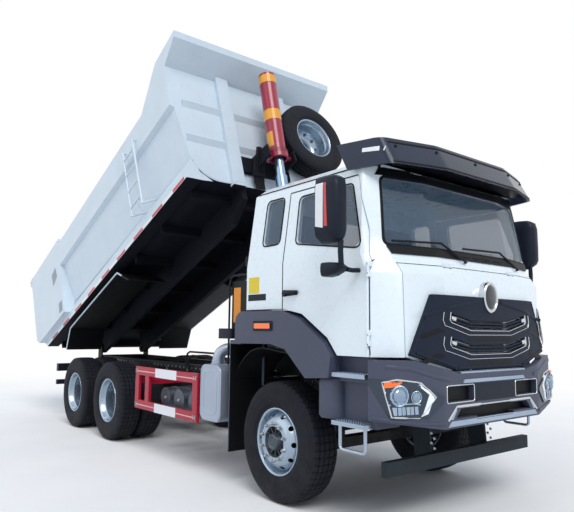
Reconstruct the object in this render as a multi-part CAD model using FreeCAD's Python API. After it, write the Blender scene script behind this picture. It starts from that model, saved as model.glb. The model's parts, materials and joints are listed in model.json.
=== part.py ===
"""Three-axle dump truck with its bed part raised: cab over engine, front telescopic hoist, U-shaped bed.

Millimetres. +X points forward, +Y to the truck's left, +Z up. The origin is on the ground under the
middle of the truck as it stands, bed raised. Places along the truck are given from the front axle.
"""

import FreeCAD, Part
import math
import os

Vector = FreeCAD.Vector

# Whole truck
front_axle_x = 3130.0
wheelbase = 3825.0
tandem_spacing = 1350.0
cut_overrun = 30.0
moving_gap = 7.0
fit_gap = 0.3
bearing_gap = 0.08
corner_share = 0.48

# Tyres, 315/80 R22.5, and their steel disc rims
tyre_radius = 538.0
tyre_width = 312.0
tread_width = 272.0
shoulder_drop = 22.0
bead_radius = 284.0
rim_width = 256.0
rim_wall = 14.0
wheel_flats = 20
disc_offset = 160.0
disc_wall = 15.0
disc_cone_radius = 175.0
disc_root_inset = 60.0
hub_radius = 98.0
hub_nose = 48.0
hub_nose_radius = 74.0
hand_hole_count = 10
hand_hole_size = 46.0
hand_hole_circle = 222.0
front_track = 2040.0
dual_mid_y = 918.0
dual_spacing = 345.0

# Chassis frame
rail_outer_y = 425.0
rail_flange = 80.0
rail_wall = 10.0
rail_height = 280.0
rail_top_z = 1060.0
rail_front = 1130.0
rail_back = -6330.0
crossmember_wall = 60.0
crossmember_height = 180.0
cab_mount = 70.0
tail_plate_wall = 12.0
tow_bolt_radius = 10.5
tow_bolt_across = 160.0
tow_bolt_up = 100.0
tow_pad_half_width = 130.0
tow_pad_half_height = 95.0
tow_jaw_half = 45.0
tow_jaw_height = 100.0
tow_jaw_reach = 230.0
tow_pin_radius = 20.0
crossmember_places = [1030.0, -560.0, -1200.0, -2100.0, -3050.0, -4500.0, -5450.0, -6260.0]

# Front axle, springs, kingpins and knuckles
axle_beam_depth = 120.0
axle_beam_low_z = 400.0
axle_beam_high_z = 500.0
kingpin_y = 840.0
kingpin_radius = 22.0
kingpin_boss_radius = 46.0
kingpin_boss_low_z = 476.0
kingpin_boss_high_z = 600.0
knuckle_lug_height = 46.0
knuckle_lug_half = 50.0
knuckle_web_y = 908.0
knuckle_web = 24.0
spindle_radius = 40.0
brake_radius = 200.0
brake_width = 90.0
spring_half_length = 800.0
spring_width = 80.0
spring_pack = 90.0
spring_eye_radius = 34.0
spring_hanger = 60.0

# Rear bogie
axle_casing_radius = 75.0
axle_bowl_radius = 215.0
axle_bowl_half = 130.0
rear_spindle_end_y = 905.0
rear_brake_width = 150.0
bogie_spring_y = 500.0
bogie_spring_width = 90.0
bogie_spring_pack = 150.0
bogie_spring_low_z = 620.0
trunnion_radius = 80.0
trunnion_z = 560.0

# Engine, gearbox and propeller shafts
engine_back = -150.0
engine_front = 980.0
engine_step_x = 700.0
engine_step_z = 1300.0
engine_half_width = 310.0
engine_low_z = 640.0
engine_high_z = 1470.0
gearbox_back = -500.0
gearbox_radius = 180.0
gearbox_z = 720.0
shaft_radius = 55.0
shaft_collar_radius = 85.0
shaft_collar = 60.0

# Cab
cab_back = -450.0
cab_wall = 50.0
cab_half_width = 1200.0
cab_eave_half_width = cab_half_width - 100.0
cab_belt_z = 2150.0
cab_eave_z = 2880.0
cab_roof_z = 2985.0
cab_roof_edge_y = cab_half_width - 240.0
cab_roof_front = 985.0
cab_brow_x = 1218.0
cab_brow_z = 2868.0
cab_nose_x = 1440.0
cab_nose_z = 1990.0
cab_nose_half_width = cab_half_width - 640.0
cab_cheek_x = 1380.0
cab_cheek_y = cab_half_width - 200.0
cab_side_front = 1150.0
cab_bottom_z = 1345.0
cab_back_bottom_z = 1736.0
arch_front_x = 845.0
arch_rise_x = 727.0
arch_rise_z = 1486.0
arch_turn_x = 400.0
arch_turn_z = 1686.0
arch_back_x = 130.0
windscreen_foot_x = 1362.0
windscreen_cheek_x = 1264.0
windscreen_side_x = 1095.0
windscreen_rake = 150.0
windscreen_rake_height = 740.0
cab_corner_radius = 160.0
cab_front_wall = 130.0
floor_wall = 60.0

# Cab openings and glass
glass_wall = 8.0
glass_depth = 14.0
window_corner = 55.0
windscreen_low_z = 2225.0
windscreen_high_z = 2800.0
windscreen_low_half = cab_half_width - 160.0
windscreen_high_half = cab_half_width - 215.0
quarter_back = -225.0
quarter_front = 35.0
quarter_low_z = 2350.0
quarter_high_z = 2790.0
rear_window_half = cab_half_width - 580.0
rear_window_low_z = 2330.0
rear_window_high_z = 2760.0

# Doors
door_back = 130.0
door_front = 1188.0
door_turn_z = 2120.0
door_top_front = 1010.0
door_top_z = 2815.0
door_wall = 50.0
door_window_back = 285.0
door_window_top_back = 272.0
door_window_low_back_z = 2325.0
door_window_low_front_z = 2200.0
door_window_front = 1112.0
door_window_top_front = 945.0
door_window_top_z = 2752.0
hinge_rod_radius = 6.0
hinge_lug_radius = 13.0
hinge_room_radius = 19.0
hinge_length = 120.0
hinge_web = 17.0
hinge_bite = 40.0
hinge_set = 2.0
lid_hinge_set = 3.0
lid_hinge_rise = 10.0
lid_hinge_y = cab_half_width - 780.0
door_hinge_levels = [1430.0, 1960.0]
handle_length = 220.0
handle_height = 42.0
handle_depth = 30.0
handle_z = 1873.0
handle_inset = 40.0

# Mirrors, on the doors
mirror_y = cab_half_width + 250.0
mirror_width = 190.0
mirror_back = 935.0
mirror_front = 1160.0
mirror_low_z = 2215.0
mirror_high_z = 2750.0
mirror_corner = 60.0
mirror_arm_radius = 18.0
mirror_arm_x = 1100.0
small_mirror_y = cab_half_width + 195.0
small_mirror_width = 150.0
small_mirror_low_z = 1960.0
small_mirror_high_z = 2070.0

# Front lid with its grille
lid_wall = 32.0
lid_room = 34.0
lid_half_width = cab_half_width - 215.0
lid_low_half_width = lid_half_width - 365.0
lid_top_z = 2070.0
lid_side_low_z = 1350.0
lid_low_z = 1238.0
lid_top_half_width = lid_half_width + 15.0
grille_depth = 42.0
grille_top_half = 250.0
grille_brow_half = lid_half_width - 240.0
grille_top_z = 1835.0
grille_side_half = lid_half_width - 10.0
grille_side_z = 1362.0
grille_low_half = lid_low_half_width - 134.0
slot_half = grille_side_half - 415.0
slot_end_rise = 60.0
slot_height = 74.0
slot_upper_z = 1560.0
slot_lower_z = 1365.0
slot_bar = 16.0
slot_bar_count = 2

# Bumper, lamps and steps
bumper_low_z = 800.0
bumper_side_low_z = 890.0
bumper_mid_high_z = 1215.0
bumper_high_z = 1325.0
bumper_front = 1512.0
bumper_flat_half = cab_half_width - 500.0
bumper_cheek_x = 1392.0
bumper_cheek_y = cab_half_width - 50.0
bumper_half_width = cab_half_width + 50.0
bumper_back = 1232.0
bumper_wall = 60.0
bumper_window_inner = bumper_flat_half - 386.0
bumper_window_outer = bumper_flat_half - 36.0
bumper_window_low_z = 1000.0
bumper_window_high_z = 1120.0
lower_grille_top_half = 230.0
lower_grille_low_half = 280.0
lower_grille_low_z = 850.0
lower_grille_high_z = 965.0
headlamp_outer_y = cab_half_width + 62.0
headlamp_inner_y = bumper_flat_half - 20.0
headlamp_low_z = 900.0
headlamp_high_z = 1185.0
headlamp_depth = 60.0
headlamp_stand = 10.0
marker_back = -247.0
marker_front = 11.0
marker_low_z = 1551.0
marker_high_z = 1609.0
marker_stand = 14.0
underrun_x = 1180.0
underrun_depth = 60.0
underrun_half_width = cab_half_width - 180.0
underrun_low_z = 430.0
underrun_high_z = 544.0
underrun_arm_y = 400.0
underrun_arm_wall = 24.0
underrun_arm_length = 190.0
step_back = 795.0
step_front = 1205.0
step_tread = 34.0
step_upper_z = 1176.0
step_lower_z = 800.0
step_out_y = cab_half_width + 15.0
step_in_y = cab_half_width - 110.0
step_loop_low_z = 615.0
step_loop_radius = 14.0
step_well_out_y = cab_half_width - 70.0
step_well_in_y = 860.0
tread_half = bumper_flat_half - 220.0
tread_depth = 90.0

# Front fenders and mudflaps
fender_out_y = cab_half_width + 40.0
fender_in_y = 860.0
fender_back = -590.0
fender_top_z = 1722.0
fender_low_back_z = 1408.0
fender_inner_top_z = 1415.0
fender_toe_x = 780.0
fender_toe_z = 1162.0
fender_heel_x = 490.0
fender_heel_z = 1141.0
fender_skin = 40.0
flap_x = -750.0
flap_wall = 14.0
flap_low_z = 330.0
flap_high_z = 1400.0
flap_in_y = 860.0
flap_out_y = cab_half_width - 10.0

# Sun visor and wipers
visor_low_z = 2866.0
visor_high_z = 3110.0
visor_rake = 130.0
visor_wall = 18.0
visor_half_width = cab_half_width - 34.0
visor_side_back = 930.0
visor_cheek_x = 1330.0
visor_cheek_y = cab_half_width - 145.0
visor_front = 1470.0
visor_front_half = cab_half_width - 680.0
visor_stay_y = visor_front_half - 70.0
visor_stay_rise = 150.0
visor_stay_radius = 10.0
wiper_pivot_y = [-198.0, 675.0]
wiper_sweep = 720.0
wiper_rise = 70.0
wiper_radius = 9.0
wiper_pivot_z = 2132.0
wiper_arm_share = 0.42

# Seats, dashboard and steering wheel
seat_y = cab_half_width - 640.0
seat_width = 520.0
seat_back_x = -60.0
seat_depth = 520.0
seat_base_height = 190.0
seat_cushion = 130.0
seat_backrest = 120.0
seat_backrest_height = 560.0
dash_depth = 460.0
dash_reach = 1300.0
dash_low_z = 1700.0
dash_high_z = 2170.0
dash_half_width = 1040.0
steering_wheel_radius = 230.0
steering_rim_radius = 16.0
steering_wheel_z = 2150.0
steering_wheel_x = 760.0
steering_tilt = 35.0
steering_column_length = 310.0

# Pieces along the frame
guard_y = 1200.0
guard_wall = 40.0
guard_back = -2970.0
guard_front = -1370.0
guard_top_high_z = 1060.0
guard_top_low_z = 950.0
guard_low_high_z = 640.0
guard_low_low_z = 530.0
guard_post = 110.0
guard_inner_post_x = -2680.0
guard_arm_z = 850.0
guard_arm = 60.0
tank_places = [-1700.0, -2050.0, -2400.0]
tank_radius = 125.0
tank_z = 700.0
tank_end_y = 1050.0
tank_strap = 40.0
box_back = -1306.0
box_front = -894.0
box_low_z = 586.0
box_high_z = 1172.0
box_out_y = 1200.0
box_in_y = 520.0
box_corner = 90.0
pipe_radius = 64.0
pipe_rise_x = -1235.0
pipe_y = 1020.0
pipe_top_z = 1318.0
pipe_bend_x = -960.0
pipe_bend_y = 520.0
pipe_run_x = -560.0
pipe_run_y = 200.0
fuel_back = -2540.0
fuel_front = -1480.0
fuel_low_z = 520.0
fuel_high_z = 1130.0
fuel_corner = 110.0
battery_back = -1340.0
battery_front = -860.0
battery_low_z = 600.0
battery_high_z = 1120.0
side_arm = 70.0
intake_back = -1000.0
intake_front = -700.0
intake_out_y = 1010.0
intake_in_y = 700.0
intake_low_z = 1500.0
intake_high_z = 2060.0
intake_pipe_radius = 42.0
intake_cap_radius = 78.0
intake_cap_low_z = 2230.0
intake_cap_high_z = 2330.0
intake_leg = 40.0
tail_bar_x = -6440.0
tail_bar_depth = 70.0
tail_bar_half = 1130.0
tail_bar_low_z = 560.0
tail_bar_high_z = 640.0
tail_lamp_in_y = 780.0
tail_lamp_out_y = 1130.0
tail_lamp_depth = 90.0
tail_lamp_low_z = 790.0
tail_lamp_high_z = 920.0
tail_arm = 60.0

# Bed, given lowered: x ahead of its front lower corner, h above its floor
bed_front_x = -1250.0
bed_floor_z = 1454.0
bed_rest_tilt = 23.0
bed_hinge_x = -6200.0
bed_hinge_z = 1180.0
bed_sheet = 14.0
bed_wall_y = 1240.0
bed_waist_h = 940.0
bed_floor_y = 1060.0
bed_floor_corner = 400.0
bed_waist_corner = 160.0
bed_side_h = 1410.0
bed_rail_y = 1305.0
bed_rail_low_h = 965.0
bed_lean = 139.0
bed_wall_top_h = 1607.0
bed_canopy_reach = 470.0
bed_canopy_low_h = 1778.0
bed_canopy_lip = 82.0
bed_gusset_back = -660.0
bed_gusset_turn = -70.0
bed_gusset_turn_h = 1825.0
bed_floor_back = -5470.0
bed_step_back = -5730.0
bed_step_h = 190.0
bed_top_back = -5850.0
bed_post_front = -4200.0
bed_post_top_h = 1500.0
skirt_y = 1208.0
skirt_top_h = 272.0
skirt_top_y = 1100.0
skirt_edge_h = 95.0
skirt_low_h = -24.0
skirt_in_y = 1010.0
wall_beam_in_y = 390.0
wall_beam_out_y = 575.0
wall_beam_depth = 62.0
wall_beam_low_h = -36.0
wall_rib = 46.0
wall_rib_places = [590.0, 1100.0]
ladder_x = -900.0
ladder_width = 330.0
ladder_low_h = 150.0
ladder_high_h = 1180.0
ladder_stand = 60.0
ladder_radius = 13.0
ladder_rungs = 4
bed_beam_in_y = 342.0
bed_beam_out_y = 418.0
bed_beam_h = 355.0
bed_cross_places = [-300.0, -1150.0, -2000.0, -2850.0, -3700.0, -4450.0, -5300.0]
bed_cross_width = 70.0
bed_cross_h = 110.0
bed_cross_half = 1000.0
hinge_boss_radius = 78.0
hinge_pin_radius = 35.0
hinge_cheek = 28.0
guard_sheet = 10.0
mudguard_in_y = 560.0
mudguard_out_y = 1150.0
mudguard_back = -5930.0
mudguard_top_back = -5645.0
mudguard_top_front = -3588.0
mudguard_front = -3248.0
mudguard_high_z = 1343.7
mudguard_low_z = 1060.0
spare_y = 705.0
spare_up = 775.0
spare_stand = 92.0
spare_boss_radius = 90.0

# Tailgate
gate_gap = 9.0
gate_wall = 34.0
gate_rib = 60.0
gate_rib_width = 90.0
gate_rib_places = [-1010.0, -520.0, 0.0, 520.0, 1010.0]
gate_pin_radius = 24.0
gate_pin_h = 1440.0
gate_edge_gap = 8.0
gate_band_shares = [0.03, 0.5, 0.93]

# Hoist
hoist_foot_x = -850.0
hoist_foot_z = 900.0
hoist_rest_angle = 103.3
hoist_slide = 703.3
tube_wall = 8.0
base_radius = 95.0
base_foot = 70.0
base_top = 2000.0
stage_radii = [80.0, 65.0]
stage_low = [120.0, 145.0]
stage_high = [1968.0, 1986.0]
rod_radius = 50.0
guide_band = 60.0
rod_low = 170.0
cover_radius = 114.0
cover_wall = 8.0
cover_low = 856.0
cover_high = 2050.0
cover_cap = 24.0
ring_radius = 135.0
ring_height = 86.0
ring_stub_radius = 30.0
ring_stub_end_y = 192.0
foot_pin_radius = 32.0
foot_boss_radius = 62.0
foot_boss_half = 90.0
foot_cheek_y = 98.0
foot_cheek = 26.0
foot_cheek_reach = 90.0
hoist_bracket_y = 200.0
hoist_bracket_wall = 26.0
hoist_bracket_low_h = 190.0
hoist_bracket_high_h = 410.0
hoist_bracket_reach = 455.0
hoist_bracket_cross = 60.0

# Places worked out from the sizes above
rear_axle_xs = [front_axle_x - wheelbase, front_axle_x - wheelbase - tandem_spacing]
bogie_x = (rear_axle_xs[0] + rear_axle_xs[1]) / 2
rail_inner_y = rail_outer_y - rail_flange
rail_low_z = rail_top_z - rail_height
bed_hinge = Vector(front_axle_x + bed_hinge_x, 0, bed_hinge_z)
hoist_foot = Vector(front_axle_x + hoist_foot_x, 0, hoist_foot_z)
hoist_line = Vector(
    math.cos(math.radians(hoist_rest_angle)), 0, math.sin(math.radians(hoist_rest_angle))
)
wall_slope = bed_lean / bed_wall_top_h
cab_flank_radii = [0.0, cab_corner_radius, cab_corner_radius, cab_front_wall]
cab_plan_radii = cab_flank_radii + cab_flank_radii[::-1]


def ahead(distance):
    """X of a place that lies this far ahead of the front axle."""
    return front_axle_x + distance


def block(x, y, z):
    """A box between three pairs of limits."""
    low = [min(pair) for pair in (x, y, z)]
    high = [max(pair) for pair in (x, y, z)]
    sides = [top - bottom for bottom, top in zip(low, high)]
    return Part.makeBox(sides[0], sides[1], sides[2], Vector(low[0], low[1], low[2]))


def in_xz(outline, y=0.0):
    """Points of an outline drawn in side view."""
    return [Vector(x, y, z) for x, z in outline]


def in_yz(outline, x=0.0):
    """Points of an outline drawn in front view."""
    return [Vector(x, y, z) for y, z in outline]


def in_xy(outline, z=0.0):
    """Points of an outline drawn in plan."""
    return [Vector(x, y, z) for x, y in outline]


def corner_arc(before, point, after, radius):
    """Start, middle and end of the arc that turns a corner, kept within the two sides."""
    back = before - point
    onward = after - point
    half = back.getAngle(onward) / 2
    reach = min(radius / math.tan(half), corner_share * back.Length, corner_share * onward.Length)
    turn = reach * math.tan(half)
    back.normalize()
    onward.normalize()
    inward = back + onward
    inward.normalize()
    return (
        point + back * reach,
        point + inward * (turn / math.sin(half) - turn),
        point + onward * reach,
    )


def rounded_wire(points, radius=0.0, closed=True):
    """A wire through points whose corners are turned by one radius or by a list of them."""
    count = len(points)
    radii = radius if isinstance(radius, list) else [radius] * count
    edges = []
    at = None
    first = None
    for i, point in enumerate(points):
        inner = closed or 0 < i < count - 1
        if radii[i] and inner:
            start, middle, end = corner_arc(points[i - 1], point, points[(i + 1) % count], radii[i])
            if at is not None:
                edges.append(Part.makeLine(at, start))
            edges.append(Part.Arc(start, middle, end).toShape())
        else:
            start = end = point
            if at is not None:
                edges.append(Part.makeLine(at, start))
        first = first or start
        at = end
    if closed:
        edges.append(Part.makeLine(at, first))
    return Part.Wire(edges)


def prism(points, along, radius=0.0):
    """A flat outline pulled along a vector."""
    return Part.Face(rounded_wire(points, radius)).extrude(along)


def side_prism(outline, y, radius=0.0):
    """A side-view outline pulled between two Y limits."""
    return prism(in_xz(outline, min(y)), Vector(0, max(y) - min(y), 0), radius)


def front_prism(outline, x, radius=0.0):
    """A front-view outline pulled between two X limits."""
    return prism(in_yz(outline, min(x)), Vector(max(x) - min(x), 0, 0), radius)


def plan_prism(outline, z, radius=0.0):
    """A plan outline pulled between two Z limits."""
    return prism(in_xy(outline, min(z)), Vector(0, 0, max(z) - min(z)), radius)


def rod(start, end, radius):
    """A round bar between two points."""
    line = end - start
    return Part.makeCylinder(radius, line.Length, start, line)


def tube(start, end, radius, wall):
    """A round tube between two points."""
    line = end - start
    line.normalize()
    return rod(start, end, radius).cut(
        rod(start - line * cut_overrun, end + line * cut_overrun, radius - wall)
    )


def bent_rod(points, radius, bend):
    """A round bar along straight runs joined by arcs."""
    path = rounded_wire(points, bend, closed=False)
    end = Part.Wire(Part.makeCircle(radius, points[0], points[1] - points[0]))
    return path.makePipeShell([end], True, True)


def joined(shapes):
    """Shapes fused into one, with the seams between flush faces taken out."""
    return shapes[0].multiFuse(shapes[1:]).removeSplitter()


def mirrored(shape):
    """The same shape on the truck's other side."""
    return shape.mirror(Vector(0, 0, 0), Vector(0, 1, 0))


def both(shape):
    """A shape and its mirror image, fused where they meet."""
    return joined([shape, mirrored(shape)])


def pair(shape):
    """A shape and its mirror image, each its own solid."""
    return Part.makeCompound([shape, mirrored(shape)])


def flat_ring(outline, flats, centre):
    """A ring about the Y axis in flat facets. The outline has (along, radius to the flats)."""
    step = 2 * math.pi / flats
    spread = 1 / math.cos(step / 2)

    def corner(turn, index):
        along, radius = outline[index % len(outline)]
        angle = (turn + 0.5) * step
        out = radius * spread
        return centre + Vector(out * math.cos(angle), along, out * math.sin(angle))

    faces = []
    for turn in range(flats):
        for index in range(len(outline)):
            loop = [
                corner(turn, index),
                corner(turn, index + 1),
                corner(turn + 1, index + 1),
                corner(turn + 1, index),
            ]
            faces.append(Part.Face(Part.makePolygon(loop + loop[:1])))
    solid = Part.makeSolid(Part.makeShell(faces))
    if solid.Volume < 0:
        solid.reverse()
    return solid


def tyre(centre):
    """A tyre about the Y axis: tread, shoulders, bulged walls and beads."""
    bulge_radius = (tyre_radius + bead_radius) / 2
    half = [
        (rim_width / 2 - rim_wall, bead_radius),
        (tyre_width / 2, bulge_radius),
        (tread_width / 2, tyre_radius - shoulder_drop),
        (tread_width / 2 - shoulder_drop, tyre_radius),
    ]
    outline = half + [(-along, radius) for along, radius in reversed(half)]
    return flat_ring(outline, wheel_flats, centre)


def rim(centre, side):
    """A steel disc rim with hand holes. Its disc stands towards side, +1 or -1 along Y."""
    half = rim_width / 2
    under = bead_radius - rim_wall
    outline = [
        (-half, bead_radius - fit_gap),
        (half, bead_radius - fit_gap),
        (half, under),
        (half - disc_root_inset + disc_wall, under),
        (disc_offset, disc_cone_radius),
        (disc_offset, hub_nose_radius),
        (disc_offset - disc_wall, hub_nose_radius),
        (disc_offset - disc_wall, disc_cone_radius),
        (half - disc_root_inset, under),
        (-half, under),
    ]
    shape = flat_ring([(side * along, radius) for along, radius in outline], wheel_flats, centre)
    holes = []
    for turn in range(hand_hole_count):
        angle = 2 * math.pi * turn / hand_hole_count
        hole = block(
            (hand_hole_circle - hand_hole_size / 2, hand_hole_circle + hand_hole_size / 2),
            (side * (half - disc_root_inset - cut_overrun), side * (disc_offset + cut_overrun)),
            (-hand_hole_size / 2, hand_hole_size / 2),
        )
        hole.translate(centre)
        hole.rotate(centre, Vector(0, 1, 0), -math.degrees(angle))
        holes.append(hole)
    return shape.cut(Part.makeCompound(holes))


def hub(centre, side, disc_at, bore, bore_depth):
    """A hub through a rim's disc, with its nose outward and a bore for its spindle inward."""
    y = centre.y + side * disc_at
    inner = Vector(centre.x, y - side * bore_depth, centre.z)
    face = Vector(centre.x, y, centre.z)
    nose = Vector(centre.x, y + side * hub_nose, centre.z)
    body = joined([rod(inner, face, hub_radius), rod(face, nose, hub_nose_radius)])
    start = inner - Vector(0, side * cut_overrun, 0)
    return body.cut(rod(start, inner + Vector(0, side * (bore_depth - rim_wall), 0), bore))


def front_wheel(side):
    """Tyre and rim of one front wheel; the rim carries the hub that turns on the spindle."""
    centre = Vector(front_axle_x, side * front_track / 2, tyre_radius)
    disc = rim(centre, side)
    middle = hub(centre, side, disc_offset, spindle_radius + bearing_gap, disc_wall + brake_width)
    return tyre(centre), joined([disc, middle])


def rear_wheels(x, side):
    """Twin tyres and rims on one hub; the outer rim is dished in and the inner one out."""
    outer = Vector(x, side * (dual_mid_y + dual_spacing / 2), tyre_radius)
    inner = Vector(x, side * (dual_mid_y - dual_spacing / 2), tyre_radius)
    tyres = Part.makeCompound([tyre(outer), tyre(inner)])
    middle = Vector(x, side * dual_mid_y, tyre_radius)
    turning = joined(
        [
            rod(middle - Vector(0, side * rear_brake_width, 0), middle, hub_radius),
            rod(middle, middle + Vector(0, side * (disc_offset + disc_wall), 0), hub_radius),
        ]
    )
    bore_end = Vector(x, side * rear_spindle_end_y, tyre_radius)
    bore_start = middle - Vector(0, side * (rear_brake_width + cut_overrun), 0)
    bore = rod(bore_start, bore_end, axle_casing_radius + bearing_gap)
    return tyres, joined([rim(outer, -side), rim(inner, side), turning]).cut(bore)


def rail(side):
    """One channel-section frame rail, web outward."""
    y0 = rail_inner_y
    y1 = rail_outer_y
    outline = [
        (y0, rail_low_z),
        (y1, rail_low_z),
        (y1, rail_top_z),
        (y0, rail_top_z),
        (y0, rail_top_z - rail_wall),
        (y1 - rail_wall, rail_top_z - rail_wall),
        (y1 - rail_wall, rail_low_z + rail_wall),
        (y0, rail_low_z + rail_wall),
    ]
    shape = front_prism(outline, (ahead(rail_back), ahead(rail_front)))
    return shape if side > 0 else mirrored(shape)


def crossmember(place):
    """A channel between the rails' webs."""
    inner = rail_outer_y - rail_wall
    middle = (rail_low_z + rail_top_z) / 2
    low = middle - crossmember_height / 2
    high = middle + crossmember_height / 2
    x = (ahead(place) - crossmember_wall / 2, ahead(place) + crossmember_wall / 2)
    return block(x, (-inner, inner), (low, high))


def hoist_cradle():
    """Cheeks and pin that hold the hoist's foot between two crossmembers."""
    reach = (ahead(crossmember_places[2]), ahead(crossmember_places[1]))
    low = rail_low_z + rail_wall
    cheek = block(reach, (foot_cheek_y, foot_cheek_y + foot_cheek), (low, low + rail_height / 2))
    ear = rod(
        hoist_foot + Vector(0, foot_cheek_y, 0),
        hoist_foot + Vector(0, foot_cheek_y + foot_cheek, 0),
        foot_cheek_reach,
    )
    ear = ear.common(block(reach, (0, rail_outer_y), (low, rail_top_z + cut_overrun)))
    pin = rod(
        hoist_foot - Vector(0, foot_cheek_y + foot_cheek, 0),
        hoist_foot + Vector(0, foot_cheek_y + foot_cheek, 0),
        foot_pin_radius,
    )
    return [cheek, mirrored(cheek), ear, mirrored(ear), pin]


def bed_hinge_cheeks():
    """Plates on the rails' webs with the pins that the bed turns on."""
    top = bed_hinge_z + hinge_boss_radius
    outline = [
        (bed_hinge.x - hinge_boss_radius, rail_low_z),
        (bed_hinge.x + hinge_boss_radius, rail_low_z),
        (bed_hinge.x + hinge_boss_radius, top),
        (bed_hinge.x - hinge_boss_radius, top),
    ]
    radii = [0.0, 0.0, hinge_boss_radius, hinge_boss_radius]
    plate = side_prism(outline, (rail_outer_y, rail_outer_y + hinge_cheek), radii)
    pin = rod(
        bed_hinge + Vector(0, bed_beam_in_y - hinge_cheek, 0),
        bed_hinge + Vector(0, rail_outer_y + hinge_cheek, 0),
        hinge_pin_radius,
    )
    return [plate, mirrored(plate), pin, mirrored(pin)]


def cab_mounts():
    """Posts on the rails that carry the cab at its back and front."""
    posts = []
    for place, top in ((cab_back, cab_back_bottom_z), (engine_front, cab_bottom_z)):
        x = ahead(place) + cab_mount
        post = block(
            (x, x + cab_mount), (rail_inner_y, rail_outer_y), (rail_top_z - rail_wall, top - fit_gap)
        )
        posts += [post, mirrored(post)]
    return posts


def tow_points():
    """A drilled plate over the rails' tails and a jaw for a tow pin on the first crossmember."""
    middle_z = (rail_low_z + rail_top_z) / 2
    back = ahead(rail_back)
    plate = block(
        (back - tail_plate_wall, back), (-rail_outer_y, rail_outer_y), (rail_low_z, rail_top_z)
    )
    pad = block(
        (back - tail_plate_wall * 2, back - tail_plate_wall),
        (-tow_pad_half_width, tow_pad_half_width),
        (middle_z - tow_pad_half_height, middle_z + tow_pad_half_height),
    )
    plate = joined([plate, pad])
    bolts = []
    for y in (-tow_bolt_across / 2, tow_bolt_across / 2):
        for z in (middle_z - tow_bolt_up / 2, middle_z + tow_bolt_up / 2):
            start = Vector(back - tail_plate_wall * 2 - cut_overrun, y, z)
            bolts.append(rod(start, Vector(back + cut_overrun, y, z), tow_bolt_radius))
    plate = plate.cut(Part.makeCompound(bolts))
    face = ahead(crossmember_places[0]) + crossmember_wall / 2
    low = middle_z - tow_jaw_height / 2
    jaw = block(
        (face, face + tow_jaw_reach), (-tow_jaw_half, tow_jaw_half), (low, low + tow_jaw_height)
    )
    pin_x = face + tow_jaw_reach - tow_jaw_half
    hole = rod(
        Vector(pin_x, 0, low - cut_overrun),
        Vector(pin_x, 0, low + tow_jaw_height + cut_overrun),
        tow_pin_radius,
    )
    return [plate, jaw.cut(hole)]


def chassis_frame():
    """Two channel rails with the cab's mounts and the bed's hinge plates."""
    return joined([rail(1), rail(-1)] + cab_mounts() + bed_hinge_cheeks())


def crossmembers():
    """The channels between the rails, with the hoist's cradle, the front tow jaw and the tail plate."""
    parts = [crossmember(place) for place in crossmember_places]
    return joined(parts + hoist_cradle() + tow_points())


def leaf_pack(x, y, width, half_length, low, pack, rise):
    """A stack of leaves in side view, its ends above its middle by a rise."""
    end = low + rise
    outline = [
        (x - half_length, end),
        (x - half_length, end + pack / 4),
        (x, low + pack),
        (x + half_length, end + pack / 4),
        (x + half_length, end),
        (x + half_length / 3, low),
        (x - half_length / 3, low),
    ]
    return side_prism(outline, (y - width / 2, y + width / 2))


def front_axle():
    """Drop-forged beam with kingpins, on two leaf springs hung under the rails."""
    half = axle_beam_depth / 2
    x = (front_axle_x - half, front_axle_x + half)
    spring_y = rail_outer_y - rail_flange / 2
    beam = block(x, (-kingpin_y, kingpin_y), (axle_beam_low_z, axle_beam_high_z))
    clear = knuckle_lug_half + moving_gap
    end_gap = block(
        (front_axle_x - axle_beam_depth, front_axle_x + axle_beam_depth),
        (kingpin_y - clear, kingpin_y + clear),
        (axle_beam_low_z - cut_overrun, kingpin_boss_low_z),
    )
    beam = beam.cut(Part.makeCompound([end_gap, mirrored(end_gap)]))
    foot = Vector(front_axle_x, kingpin_y, kingpin_boss_low_z)
    head = Vector(front_axle_x, kingpin_y, kingpin_boss_high_z)
    boss = rod(foot, head, kingpin_boss_radius)
    lug = Vector(0, 0, moving_gap + knuckle_lug_height)
    pin = rod(foot - lug, head + lug, kingpin_radius)
    seat_y = (spring_y - spring_width / 2, spring_y + spring_width / 2)
    spring_low = rail_low_z - spring_pack - spring_hanger
    seat = block(x, seat_y, (axle_beam_high_z, spring_low + fit_gap))
    leaves = leaf_pack(
        front_axle_x, spring_y, spring_width, spring_half_length, spring_low, spring_pack, spring_hanger
    )
    hangers = []
    for place in (front_axle_x - spring_half_length, front_axle_x + spring_half_length):
        inward = spring_eye_radius if place < front_axle_x else -spring_eye_radius
        hangers.append(block((place, place + inward), seat_y, (spring_low + spring_hanger, rail_low_z)))
    return both(joined([beam, boss, pin, seat, leaves] + hangers))


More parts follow.
